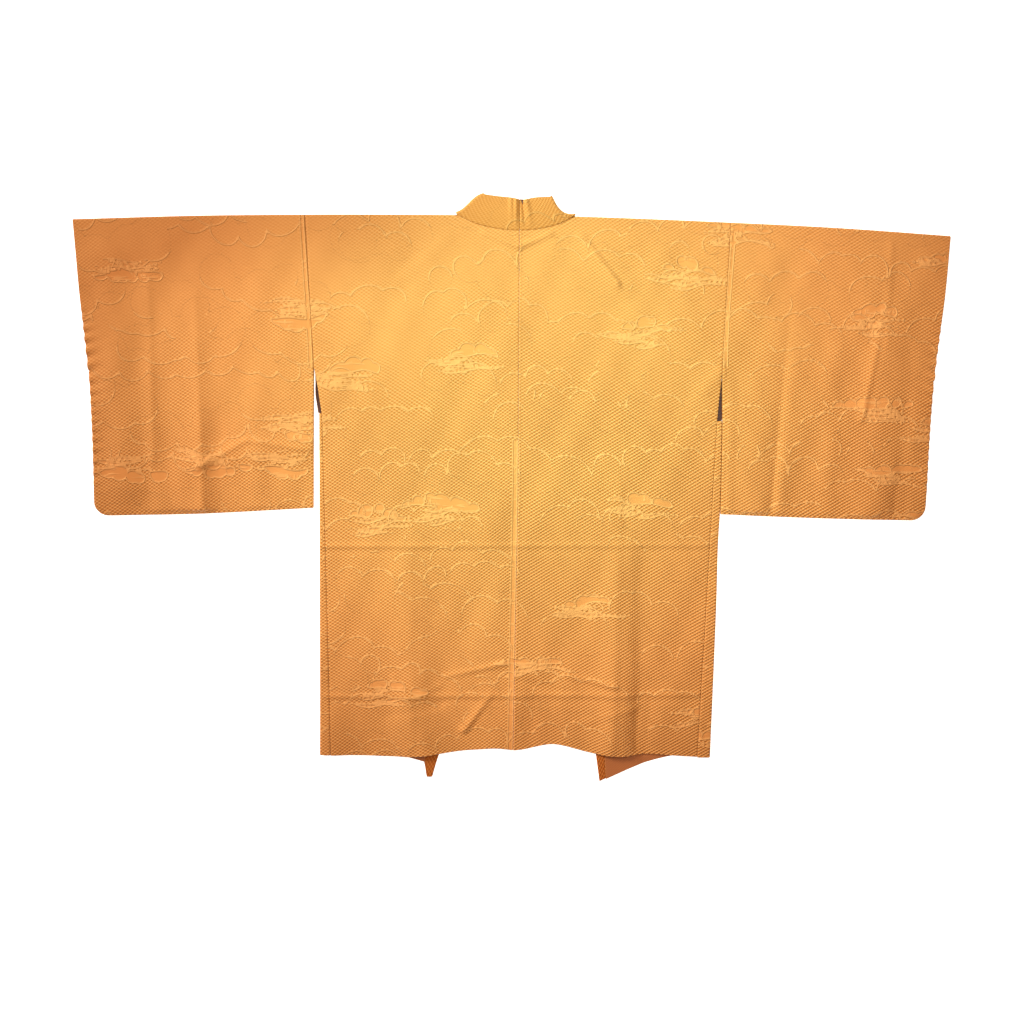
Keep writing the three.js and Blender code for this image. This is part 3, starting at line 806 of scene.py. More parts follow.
# ---- Pieces ----------------------------------------------------------------------------------
@dataclass
class Body:
    """One length of cloth: up the back, over the shoulder and down the front of one side."""

    cut: Cut
    step: float = 3.0
    front_step: float = 9.0
    slit_step: float = 4.0
    fold_steps: int = 8

    def surface(self) -> Surface:
        """Middle surface on a grid whose rows run from the back hem over to the front hem.

        Back rows go from the hem, share 1, up to the neck or shoulder, share 0. Columns go from
        the centre seam to the neck corner and on to the side. The front part keeps only the
        outer columns, spread from the collar seam to the side.

        Returns:
            The surface.
        """
        cut = self.cut
        down = self.rows_down(self.step, graded(VENT, self.step, False, False))
        inner = graded(cut.neck_x, self.step, True, False)
        outer = graded(cut.edge[0][1] - cut.neck_x, self.step, False, True)
        neck = len(inner) - 1
        back = self.back_rows(down[::-1], inner, outer)
        turns = half_turn(self.fold_steps)
        level = self.front_level(outer * (cut.edge[0][1] - cut.neck_x))
        top = back[-1]
        fold = np.repeat(top[None], len(turns), axis=0)
        fold[:, :, 1] += np.sin(turns)[:, None] * FOLD_BULGE
        lower = np.concatenate([np.full(neck, TURNED_FRONT_LEVEL), level])
        fold[:, :, 2] = folded_height(turns[:, None], top[None, :, 2], lower)
        front_down = self.rows_down(self.front_step, graded(VENT, self.slit_step))
        front = self.front_rows(front_down, outer, top[neck:])
        front = np.concatenate([np.repeat(front[:, :1], neck, axis=1), front], axis=1)
        grid = np.concatenate([back, fold, front])
        rows, columns = grid.shape[:2]
        keep = np.ones((rows - 1, columns - 1), bool)
        keep[len(back) - 1:, :neck] = False
        cloth = grid[:, :, :2].copy()
        shoulder = curved(SHOULDER, grid[:, :, 0])
        turned = np.arange(rows) >= len(back) + len(turns)
        cloth[turned, :, 1] = (2 * shoulder - grid[:, :, 1])[turned]
        band = np.full((rows, columns), FAR)
        if cut.side is Side.LEFT:
            centre = np.abs(back[:, :, 0] - straight(CENTRE_SEAM, back[:, :, 1]))
            low = back[:, :, 1] < PRESSED_TOP
            band[: len(back)] = np.where(low, strip_distance(centre, CENTRE_STRIP), FAR)
        cells = grid_cells(rows, columns, keep)
        return Surface(grid.reshape(-1, 3), cloth.reshape(-1, 2), cells, band.ravel())

    def rows_down(self, step: float, slit: Array) -> Array:
        """Shares of the way down, with rows at both ends of the armpit slit.

        Args:
            step: Spacing of the rows above and below the slit.
            slit: Shares along the slit.

        Returns:
            The shares.
        """
        length, low = self.cut.edge[-1][0], ARMHOLE + VENT
        return joined(
            (0, ARMHOLE / length, graded(ARMHOLE, step, True, False)),
            (ARMHOLE / length, low / length, slit),
            (low / length, 1, graded(length - low, step, False, True)),
        )

    def side_x(self, share: Array) -> Array:
        """Signed x of the side edge at a share of the way down.

        Args:
            share: Shares down the side.

        Returns:
            The signed x.
        """
        cut = self.cut
        return cut.sign * (straight(cut.edge, share * cut.edge[-1][0]) - SEAM_MARGIN)

    def back_rows(self, shares: Array, inner: Array, outer: Array) -> Array:
        """Points of the back: blends between its edges, raised by the folds.

        Args:
            shares: Shares down, from the hem up.
            inner: Shares from the centre seam to the neck corner.
            outer: Shares from the neck corner to the side.

        Returns:
            (rows, columns, 3) points.
        """
        cut, sign = self.cut, self.cut.sign
        share = shares[:, None]
        seam = straight(CENTRE_SEAM, lerp(-NECK_DIP, SEAM_END, share)) + sign * SEAM_MARGIN
        corner = sign * (cut.neck_x + SEAM_MARGIN)
        x = np.concatenate([
            lerp(seam, corner, inner[None, :-1]),
            lerp(corner, self.side_x(share), outer[None]),
        ], axis=1)
        in_neck = np.arange(x.shape[1]) < len(inner) - 1
        top = np.where(
            in_neck,
            neck_seam(cut, x) - SEAM_MARGIN,
            curved(SHOULDER, x) - FOLD_REACH,
        )
        y = lerp(top, curved(BACK_HEM, x), share)
        z = BACK_LEVEL + cloth_lift(x, y) - self.seam_dip(x, y, share)
        return np.stack([x, y, z], axis=-1)

    def seam_dip(self, x: Array, y: Array, share: Array) -> Array:
        """Depth by which cloth sinks into its seams, with the pressed line beside each seam.

        Args:
            x: Signed places across.
            y: Places above the neck level.
            share: Shares down.

        Returns:
            The depth at each place; the ridge beside the centre seam counts against it.
        """
        cut, sign = self.cut, self.cut.sign
        centre = np.abs(x - straight(CENTRE_SEAM, y)) - SEAM_MARGIN
        side = np.abs(self.side_x(share) - x)
        neck = np.where(np.abs(x) < cut.neck_x, neck_seam(cut, x) - y, 99.0)
        dip = 0.25 * bell(centre, 1.2) + 0.3 * bell(side, 1.3)
        dip += 0.3 * bell(neck, 1.4)
        pressed = 0.22 * bell(side - 9.0, 1.1) * (share < 0.27)
        pressed += 0.2 * bell(centre - 8.0, 1.2) * (sign < 0)
        ridge = 0.5 * bell(centre - 1.4, 1.1) * (sign > 0)
        return dip + pressed - ridge

    @staticmethod
    def front_level(away: Array) -> Array:
        """Level of the front panel: raised over the lapel, then down to the floor.

        Args:
            away: Distances from the collar seam.

        Returns:
            The level at each distance.
        """
        return TURNED_FRONT_LEVEL - LAYER * smoothstep(LAPEL_BED, LAPEL_BED + LAPEL_STEP, away)

    def front_rows(self, shares: Array, outer: Array, top: Array) -> Array:
        """Points of the front panel from the shoulder down to its hem.

        Args:
            shares: Shares down.
            outer: Shares from the collar seam to the side.
            top: The points of the back's top row from the neck corner to the side.

        Returns:
            (rows, columns, 3) points.
        """
        cut, sign = self.cut, self.cut.sign
        share = shares[:, None]
        start = float(curved(SHOULDER, sign * cut.neck_x)) - FOLD_REACH
        seam = front_edge(cut, lerp(start, cut.front_edge[1], share)) + SEAM_MARGIN
        side = np.abs(self.side_x(share)) + self.vent_room(share, top[-1, 1])
        x = lerp(seam, side, outer[None])
        hem = curved(cut.front_hem, x[-1])
        y = lerp(top[None, :, 1], hem[None], share)
        return np.stack([sign * x, y, self.front_level(x - seam)], axis=-1)

    def vent_room(self, share: Array, top: float) -> Array:
        """How far the front's side stands out in the armpit slit, short of sleeve and gore.

        Args:
            share: Shares down the front.
            top: y of the front's side at the shoulder fold.

        Returns:
            The distance at each share.
        """
        cut = self.cut
        depth = share * cut.edge[-1][0]
        slack = cut.vent_slack * smoothstep(ARMHOLE, ARMHOLE + 50, depth)
        gore_top = float(curved(SHOULDER, cut.sign * cut.edge[0][1])) - ARMHOLE - VENT
        side_y = lerp(top, float(curved(cut.front_hem, cut.edge[-1][1])), share)
        slack = slack * smoothstep(gore_top + 0.2, gore_top + 1.0, side_y)
        room = straight(cut.sleeve_inner, depth) - SLIT_GAP - np.abs(self.side_x(share))
        return np.clip(np.minimum(slack, room), 0, None)


@dataclass
class Sleeve:
    """A flattened tube, folded along the shoulder and sewn below and up to its cuff opening."""

    cut: Cut
    step: float = 3.3
    fold_steps: int = 6

    @property
    def length(self) -> float:
        """Depth of the sleeve at its inner edge.

        Returns:
            The depth in millimetres.
        """
        return self.cut.sleeve_inner[-1][0]

    def plan(self, reach: Array, share: Array) -> tuple[Array, Array]:
        """Place of a sleeve point seen from above.

        It blends between the four edges, and the lower outer corner's square is bent into a
        quarter disc: each coordinate of the square is scaled by sqrt(1 - other^2 / 2).

        Args:
            reach: Share from the inner edge to the cuff.
            share: Share down from the shoulder.

        Returns:
            Signed x, and y above the neck level.
        """
        cut = self.cut
        sewn = np.where(share * self.length < CUFF_OPENING - 1, RIM, FOLD_REACH)
        inner = straight(cut.sleeve_inner, share * self.length) + SEAM_MARGIN
        outer = curved(cut.sleeve_outer, share * self.length) - sewn
        x = lerp(inner, outer, reach)
        top = curved(SHOULDER, cut.sign * x) - FOLD_REACH
        hem = curved(cut.sleeve_hem, x) + FOLD_REACH
        y = lerp(top, hem, share)
        right = np.clip((x - outer + SLEEVE_CORNER) / SLEEVE_CORNER, 0, 1)
        below = np.clip((hem + SLEEVE_CORNER - y) / SLEEVE_CORNER, 0, 1)
        x = x - SLEEVE_CORNER * right * (1 - np.sqrt(1 - below**2 / 2))
        y = y + SLEEVE_CORNER * below * (1 - np.sqrt(1 - right**2 / 2))
        return cut.sign * x, y

    def surface(self) -> Surface:
        """Middle surface: rings from the inner edge to the cuff, then the sewn outer fold.

        A ring runs down the upper layer, round the lower fold, up the under layer and round
        the shoulder fold.

        Returns:
            The surface.
        """
        cut = self.cut
        length, width = self.length, cut.sleeve_outer[0][1] - cut.sleeve_inner[0][1]
        down = joined(
            (0, ARMHOLE / length, graded(ARMHOLE, self.step, True, False)),
            (ARMHOLE / length, 1, graded(length - ARMHOLE, self.step, False, True)),
        )
        across = graded(width, self.step)
        reach, share = np.meshgrid(across, down, indexing="ij")
        x, y = self.plan(reach, share)
        upper = BACK_LEVEL + self.lift(x, y, share)
        layers, turns = len(down), self.fold_steps - 1
        turn = half_turn(self.fold_steps)
        out_x, out_y = self.outward(x, y)
        lower_fold = self.fold(x, y, upper, out_x, out_y, turn, -1)
        shoulder_fold = self.fold(x, y, upper, np.zeros_like(x), np.ones_like(x), turn[::-1], 0)
        top_layer = np.stack([x, y, upper], axis=-1)
        under_layer = np.stack([x, y, np.full_like(x, FRONT_LEVEL)], axis=-1)[:, ::-1]
        rings = np.concatenate([top_layer, lower_fold, under_layer, shoulder_fold], axis=1)
        columns, ring = rings.shape[:2]
        cells = grid_cells(columns, ring)
        first = np.arange(columns - 1) * ring
        seam = np.stack([first + ring - 1, first, first + ring, first + 2 * ring - 1], axis=1)
        sewn = np.flatnonzero(down * length > CUFF_OPENING - 1)[:-1]
        outer_fold = self.fold(
            x[-1:, sewn], y[-1:, sewn], upper[-1:, sewn], out_x[-1:, sewn], out_y[-1:, sewn], turn, None
        )[0]
        points = np.concatenate([rings.reshape(-1, 3), outer_fold.reshape(-1, 3)])
        closing = self.closing_cells(sewn, layers, turns, (columns - 1) * ring, columns * ring)
        cloth = points[:, :2].copy()
        under = points[:, 2] < (BACK_LEVEL + FRONT_LEVEL) / 2
        cloth[under, 1] = 2 * curved(SHOULDER, cloth[under, 0]) - cloth[under, 1]
        inner = np.abs(points[:, 0]) - curved(cut.sleeve_inner, -points[:, 1])
        band = np.where(points[:, 1] > -ARMHOLE, strip_distance(inner, SLEEVE_STRIP), FAR)
        return Surface(points, cloth, np.concatenate([cells, seam, closing]), band)

    @staticmethod
    def closing_cells(sewn: Array, layers: int, turns: int, last: int, free: int) -> Array:
        """Cells of the sewn outer fold, from the cuff opening down to the lower fold.

        Args:
            sewn: Rows of the upper layer that the fold is sewn along.
            layers: Number of rows in a layer.
            turns: Number of points across the fold.
            last: Number of the last ring's first point.
            free: Number of the fold's own first point.

        Returns:
            The cells as point numbers.
        """
        number = free + np.arange(len(sewn) * turns).reshape(len(sewn), turns)
        number = np.concatenate([number, [last + layers + np.arange(turns)]])
        row = np.append(sewn, layers - 1)
        strips = np.column_stack([last + row, number, last + 2 * layers + turns - 1 - row])
        cells = np.stack([strips[:-1, :-1], strips[1:, :-1], strips[1:, 1:], strips[:-1, 1:]], axis=-1)
        return cells.reshape(-1, 4)

    def lift(self, x: Array, y: Array, share: Array) -> Array:
        """Height of the upper layer: the garment's folds, less the dips at its own edges.

        Args:
            x: Signed places across.
            y: Places above the neck level.
            share: Shares down from the shoulder.

        Returns:
            The height above the back's flat level.
        """
        depth = share * self.length
        inner = np.abs(x) - straight(self.cut.sleeve_inner, depth)
        dip = 0.3 * bell(inner, 1.3) * (depth < ARMHOLE + 3)
        dip -= 0.5 * bell(inner - 3.4, 1.5) + 0.4 * bell(inner - 9.0, 1.4)
        level = smoothstep(1.0, 0.985, share)
        gathers = pucker_lift(straight(self.cut.sleeve_outer, depth) - np.abs(x), depth)
        return np.maximum(cloth_lift(x, y) * lerp(0.35, 1, level) + gathers - dip, -0.4)

    def outward(self, x: Array, y: Array) -> tuple[Array, Array]:
        """Direction away from the sleeve across its lower and outer edges.

        It turns from straight down, through the round corner, to straight out.

        Args:
            x: Signed x of the plan's points, (columns, rows).
            y: Their y.

        Returns:
            x and y of the direction at each point.
        """
        cut = self.cut
        outer = np.abs(x[-1:])
        corner_x = np.abs(x) - (outer.min() - SLEEVE_CORNER)
        corner_y = (y[:, -1:] + SLEEVE_CORNER) - y
        angle = np.arctan2(np.clip(corner_y, 0, None), np.clip(corner_x, 1e-6, None))
        angle = np.where(corner_x <= 0, np.pi / 2, angle)
        return cut.sign * np.cos(angle), -np.sin(angle)

    @staticmethod
    def fold(
        x: Array, y: Array, upper: Array, out_x: Array, out_y: Array, turn: Array, edge: int | None
    ) -> Array:
        """Half-round fold along an edge of the plan.

        Args:
            x: Signed x of the plan's points, (columns, rows).
            y: Their y.
            upper: Height of the upper layer there.
            out_x: x of the direction out of the edge.
            out_y: y of the direction out of the edge.
            turn: Angles of the fold's rows.
            edge: Row of the plan that the fold follows, or None for every row.

        Returns:
            (columns, turns, 3) points, or (columns, rows, turns, 3) where edge is None.
        """
        pick = (slice(None), slice(None)) if edge is None else (slice(None), edge)
        px, py, pz, ox, oy = (part[pick][..., None] for part in (x, y, upper, out_x, out_y))
        bulge = np.sin(turn) * FOLD_BULGE
        return np.stack([px + ox * bulge, py + oy * bulge, folded_height(turn, pz, FRONT_LEVEL)], axis=-1)


@dataclass
class Gore:
    """A long narrow wedge between back and front, folded along its length."""

    cut: Cut
    step: float = 3.0
    across: int = 7
    fold_steps: int = 6

    def surface(self) -> Surface:
        """Middle surface: rows down the gore, columns from the back seam round to the front's.

        Returns:
            The surface.
        """
        cut, sign = self.cut, self.cut.sign
        top, end = ARMHOLE + VENT, cut.edge[-1][0]
        down = graded(end - top, self.step)
        depth = lerp(top, end, down)[:, None]
        seam = straight(cut.edge, depth) + SEAM_MARGIN
        fold = curved(cut.gore_fold, depth) - FOLD_REACH
        flat = np.linspace(0, 1, self.across)
        reach = np.concatenate([flat, np.ones(self.fold_steps - 1), flat[::-1]])
        turn = np.concatenate([
            np.zeros(self.across),
            half_turn(self.fold_steps),
            np.full(self.across, np.pi),
        ])
        plain = lerp(seam, fold, reach[None])
        x = sign * (plain + np.sin(turn) * FOLD_BULGE)
        start = float(curved(SHOULDER, sign * cut.edge[0][1])) - top
        hem = curved(BACK_HEM, sign * fold)
        y = lerp(start, hem, down[:, None]) + 0 * x
        inset = np.abs(plain - seam)
        dip = 0.25 * bell(inset, 1.2)
        upper = BACK_LEVEL + cloth_lift(x, y) + self.tucks(y, inset) - dip
        z = folded_height(turn[None], upper, FRONT_LEVEL)
        points = np.stack([x, y, z], axis=-1)
        cloth = np.stack([x, y + GORE_SHIFT], axis=-1)
        rows, columns = x.shape
        return Surface(points.reshape(-1, 3), cloth.reshape(-1, 2), grid_cells(rows, columns))

    def tucks(self, y: Array, inset: Array) -> Array:
        """Short level tucks across the gore, uneven in height and spacing.

        Args:
            y: Places above the neck level.
            inset: Distances from the seam.

        Returns:
            The height at each place.
        """
        places = ((-640, 0.9), (-668, 0.5), (-690, 0.8), (-705, 1.0), (-560, 0.4), (-742, 0.6))
        lift = np.zeros_like(y)
        for place, height in places:
            lift += height * bell(y - place, 3.2)
        return lift * np.minimum(inset / 3.0, 1.0)


@dataclass
class Collar:
    """Half of the folded collar band, from the centre back to the front hem."""

    cut: Cut
    step: float = 2.4
    run_step: float = 6.0
    turn_steps: int = 10
    fan_steps: int = 16
    fold_steps: int = 6

    @property
    def corner(self) -> tuple[float, float]:
        """Neck corner of the band.

        Returns:
            Signed x, and y above the neck level.
        """
        y = float(curved(SHOULDER, self.cut.sign * self.cut.neck_x)) + NECK_CLEARANCE
        return self.cut.sign * (self.cut.neck_x - CORNER_INSET), y

    @property
    def tip(self) -> tuple[float, float]:
        """Upper corner of the band, where it turns under.

        Returns:
            Signed x, and y above the neck level.
        """
        return self.cut.sign * self.cut.collar_top[0], self.cut.collar_top[1]

    def stations(self) -> dict[str, Array]:
        """Stations along the band: seam point, fold point, bow, turn, lapel and run.

        At the back they fan out from the centre seam to the slanted neck corner. There the
        band turns under by half a circle about the slanted line, then fans level and runs down
        the front edge.

        Returns:
            One array for each quantity, a value for each station.
        """
        back = self.back_stations()
        table = np.concatenate([
            back, self.turned_stations(back[-1]), self.fan_stations(), self.run_stations(),
        ])
        names = ("seam_x", "seam_y", "fold_x", "fold_y", "bow", "turn", "lapel", "run")
        return dict(zip(names, table.T[:, :, None]))

    def back_stations(self) -> Array:
        """Stations at the back of the neck, from the centre seam to the neck corner.

        Returns:
            (stations, quantities), with the quantities in the order that stations names.
        """
        cut, sign = self.cut, self.cut.sign
        corner, tip = self.corner, self.tip
        centre = float(straight(CENTRE_SEAM, 0.0)) + sign * SEAM_MARGIN
        share = graded(abs(corner[0] - centre), self.step)
        seam_x = lerp(centre, corner[0], share)
        seam_y = lerp(neck_seam(cut, seam_x) + SEAM_MARGIN, corner[1], share**12)
        fold_x = lerp(centre, tip[0], share)
        fold_y = lerp(COLLAR_TOP, tip[1], share**2) - 1 - self.top_dip(fold_x)
        return np.column_stack([
            seam_x, seam_y, fold_x, fold_y, share**3, 0 * share,
            COLLAR_LAP * (1 - share**8), 0 * share,
        ])

    def turned_stations(self, last: Array) -> Array:
        """Stations of the half turn about the slanted line at the neck corner.

        Args:
            last: The last station of the back.

        Returns:
            (stations, quantities), like the back's.
        """
        table = np.repeat(last[None], self.turn_steps, axis=0)
        table[:, 5] = np.pi * (np.arange(1, self.turn_steps + 1) / self.turn_steps)
        table[:, 6] = 0.0
        return table

    def fan_stations(self) -> Array:
        """Stations in front of the neck corner, where the slanted line swings level.

        Returns:
            (stations, quantities), like the back's.
        """
        cut, sign = self.cut, self.cut.sign
        corner, tip = self.corner, self.tip
        width = float(straight(cut.band_width, -FAN_END))
        share = np.arange(1, self.fan_steps + 1) / self.fan_steps
        y = lerp(corner[1], FAN_END, share)
        seam_x = sign * front_edge(cut, np.minimum(y, 0)) - sign * SEAM_MARGIN
        return np.column_stack([
            seam_x, y, lerp(tip[0], seam_x - sign * width, np.sqrt(share)), lerp(tip[1], FAN_END, share),
            1 - share, np.full_like(y, np.pi), (LAPEL - width) * share, 0 * share,
        ])

    def run_stations(self) -> Array:
        """Stations down the front edge, from the end of the fan to the hem.

        Returns:
            (stations, quantities), like the back's.
        """
        cut, sign = self.cut, self.cut.sign
        bottom = -cut.band_width[-1][0]
        share = graded(FAN_END - bottom, self.run_step, False, True)[1:]
        y = lerp(FAN_END, bottom, share)
        wide = curved(cut.band_width, -y)
        seam_x = sign * (front_edge(cut, np.maximum(y, cut.front_edge[1])) - SEAM_MARGIN)
        return np.column_stack([
            seam_x, y, seam_x - sign * wide, y, 0 * y, np.full_like(y, np.pi), LAPEL - wide, share,
        ])

    def top_dip(self, x: Array) -> Array:
        """Dip of the collar's upper fold beside the centre, where the band is pieced.

        Args:
            x: Signed places across.

        Returns:
            The depth at each place.
        """
        return 3.2 * bell(x - 16.0, 13.0)

    def surface(self) -> Surface:
        """Middle surface: each station's section is a flat fold, sewn layer and turned layer.

        A section is drawn by the distance from the seam and the radius about the level at which
        the band turns under. The height is the middle level plus radius times cos(turn), and
        the way out is radius times sin(turn).

        Returns:
            The surface.
        """
        cut, sign = self.cut, self.cut.sign
        s = self.stations()
        run_x, run_y = s["fold_x"] - s["seam_x"], s["fold_y"] - s["seam_y"]
        span = np.hypot(run_x, run_y)
        width = span - LAYER / 2
        sewn = np.linspace(0, 1, 9)
        turned = np.linspace(0, 1, 20)
        angle = half_turn(self.fold_steps)
        along = np.concatenate([
            width * sewn,
            width + np.sin(angle) * LAYER / 2,
            lerp(width, -s["lapel"], turned),
        ], axis=1)
        radius = np.concatenate([
            np.full(len(sewn), LAYER / 2),
            LAYER - np.cos(angle) * LAYER / 2,
            np.full(len(turned), 1.5 * LAYER),
        ])[None]
        line_x, line_y = run_x / span, run_y / span
        share = np.clip(along / width, 0, 1)
        bow = cut.collar_bow * 4 * share * (1 - share)
        nick = cut.collar_nick * 6.75 * share * (1 - share) ** 2
        out = s["bow"] * (bow - nick) + np.sin(s["turn"]) * radius
        x = s["seam_x"] + line_x * along + sign * line_y * out
        y = s["seam_y"] + line_y * along - sign * line_x * out
        end = straight(cut.collar_end, np.abs(x))
        start = s["seam_y"][s["run"] == 0][-1]
        y = np.where(s["run"] > 0, lerp(start, end, s["run"]), y)
        outer = radius > LAYER
        back = np.cos(s["turn"]) > 0.99
        level = FRONT_LEVEL + 1.5 * LAYER
        z = level + np.cos(s["turn"]) * radius + np.where(outer & back, self.roll(x, share), 0)
        points = np.stack([x, y, z], axis=-1)
        cloth = np.stack([s["seam_x"] * 0 + along, np.cumsum(np.hypot(
            np.diff(s["seam_x"], axis=0, prepend=s["seam_x"][:1]),
            np.diff(s["seam_y"], axis=0, prepend=s["seam_y"][:1]),
        ), axis=0) * sign + 0 * along], axis=-1)[..., ::-1]
        rows, columns = x.shape
        return Surface(points.reshape(-1, 3), cloth.reshape(-1, 2), grid_cells(rows, columns))

    def roll(self, x: Array, share: Array) -> Array:
        """Height of the turned-out layer: a low round roll with pleats by the centre seam.

        Args:
            x: Signed places across.
            share: Share of the way from the seam to the fold.

        Returns:
            The height at each place.
        """
        lift = 2.2 * np.sin(np.pi * np.clip(share, 0, 1)) ** 0.8
        centre = x - straight(CENTRE_SEAM, 0.0)
        pleats = (
            (-12.5, 0.0, 3.0, 2.4),
            (-5.5, 0.0, 2.4, 3.4),
            (0.0, 0.0, 1.6, -1.4),
            (4.0, 5.0, 2.2, -3.2),
            (10.0, 7.0, 3.4, 2.6),
        )
        for place, slant, reach, height in pleats:
            away = centre - place - slant * (1 - share)
            lift += height * bell(away, reach) * share**0.7
        return lift


# ---- Finishes --------------------------------------------------------------------------------
WHITE = (1.0, 1.0, 1.0, 1.0)


@dataclass
class Wiring:
    """Small helper that adds and links shader nodes in one material."""

    tree: bpy.types.NodeTree

    def node(self, kind: str, **settings: object) -> bpy.types.Node:
        """Adds a node of a kind and sets its properties.

        Args:
            kind: Type name of the node.
            **settings: Properties and their values.

        Returns:
            The node.
        """
        made = self.tree.nodes.new(kind)
        for key, value in settings.items():
            setattr(made, key, value)
        return made

    def plug(self, socket: bpy.types.NodeSocket, value: object) -> None:
        """Links a socket to an output, or sets its value.

        Args:
            socket: The input to feed.
            value: An output or a plain value.
        """
        if isinstance(value, bpy.types.NodeSocket):
            self.tree.links.new(value, socket)
        else:
            socket.default_value = value

    def math(self, operation: str, *values: object, clamp: bool = False) -> bpy.types.NodeSocket:
        """Output of a Math node on the given values or outputs.

        Args:
            operation: Name of the operation.
            *values: Its inputs in order.
            clamp: Whether the result stays between 0 and 1.

        Returns:
            The result.
        """
        made = self.node("ShaderNodeMath", operation=operation, use_clamp=clamp)
        for socket, value in zip(made.inputs, values):
            self.plug(socket, value)
        return made.outputs[0]

    def step(self, value: object, low: float, high: float) -> bpy.types.NodeSocket:
        """Soft step from 0 at low to 1 at high.

        Args:
            value: What is read.
            low: Value at which the step starts.
            high: Value at which it ends; it may be below low.

        Returns:
            The step.
        """
        made = self.node("ShaderNodeMapRange", interpolation_type="SMOOTHSTEP", clamp=True)
        self.plug(made.inputs["Value"], value)
        made.inputs["From Min"].default_value = low
        made.inputs["From Max"].default_value = high
        return made.outputs["Result"]

    def mix(self, share: object, low: object, high: object, blend: str = "MIX") -> bpy.types.NodeSocket:
        """Colour that goes from low to the blend of low and high.

        Args:
            share: Share of the way.
            low: The first colour.
            high: The second colour.
            blend: How the second colour acts on the first.

        Returns:
            The colour.
        """
        made = self.node("ShaderNodeMix", data_type="RGBA", blend_type=blend)
        self.plug(made.inputs["Factor"], share)
        self.plug(made.inputs["A"], low)
        self.plug(made.inputs["B"], high)
        return next(out for out in made.outputs if out.type == "RGBA")

    def tint(self, colour: object, share: object, by: tuple[int, int, int]) -> bpy.types.NodeSocket:
        """Colour multiplied by a tint, as far as a share says.

        Args:
            colour: The colour.
            share: Share of the tint, 0 for none.
            by: The tint, in steps of 1/255.

        Returns:
            The tinted colour.
        """
        return self.mix(1.0, colour, self.mix(share, WHITE, linear(*by)), "MULTIPLY")

    def split(self, vector: object) -> list[bpy.types.NodeSocket]:
        """Parts of a vector.

        Args:
            vector: The vector.

        Returns:
            Its x, y and z.
        """
        made = self.node("ShaderNodeSeparateXYZ")
        self.plug(made.inputs[0], vector)
        return list(made.outputs)

    def mapped(self, vector: object, scale: Triple, shift: Triple = (0.0, 0.0, 0.0)) -> bpy.types.NodeSocket:
        """Vector scaled by its own factor each way, then shifted.

        Args:
            vector: The vector.
            scale: Factor each way.
            shift: Shift each way.

        Returns:
            The new vector.
        """
        made = self.node("ShaderNodeMapping")
        self.plug(made.inputs["Vector"], vector)
        made.inputs["Location"].default_value = shift
        made.inputs["Scale"].default_value = scale
        return made.outputs["Vector"]

    def noise(self, vector: object, scale: float, detail: float = 2.0) -> bpy.types.NodeSocket:
        """Noise from 0 to 1.

        Args:
            vector: Where it is read.
            scale: Repeats for each unit of the vector.
            detail: Number of finer layers.

        Returns:
            The noise.
        """
        made = self.node("ShaderNodeTexNoise", noise_dimensions="3D")
        self.plug(made.inputs["Vector"], vector)
        made.inputs["Scale"].default_value = scale
        made.inputs["Detail"].default_value = detail
        return made.outputs["Fac"]

    def bump(self, shader: bpy.types.Node, height: object, strength: float, depth: float) -> None:
        """Gives a shader small relief.

        Args:
            shader: The shader.
            height: Height of the relief.
            strength: How much of it shows.
            depth: Metres for each unit of height.
        """
        made = self.node("ShaderNodeBump")
        made.inputs["Strength"].default_value = strength
        made.inputs["Distance"].default_value = depth
        self.plug(made.inputs["Height"], height)
        self.plug(shader.inputs["Normal"], made.outputs["Normal"])


def blank(name: str) -> tuple[bpy.types.Material, Wiring, bpy.types.Node]:
    """New material with its wiring helper and its shader.

    Args:
        name: Name of the material.

    Returns:
        The material, the helper and the shader.
    """
    material = bpy.data.materials.new(name)
    material.use_nodes = True
    tree = material.node_tree
    return material, Wiring(tree), tree.nodes["Principled BSDF"]


def linear(red: int, green: int, blue: int) -> tuple[float, float, float, float]:
    """Linear colour of a display colour.

    Args:
        red: Red in steps of 1/255.
        green: Green, likewise.
        blue: Blue, likewise.

    Returns:
        Red, green, blue and a full cover.
    """
    shares = np.array([red, green, blue]) / 255
    low, high = shares / 12.92, ((shares + 0.055) / 1.055) ** 2.4
    return (*np.where(shares <= 0.04045, low, high).tolist(), 1.0)


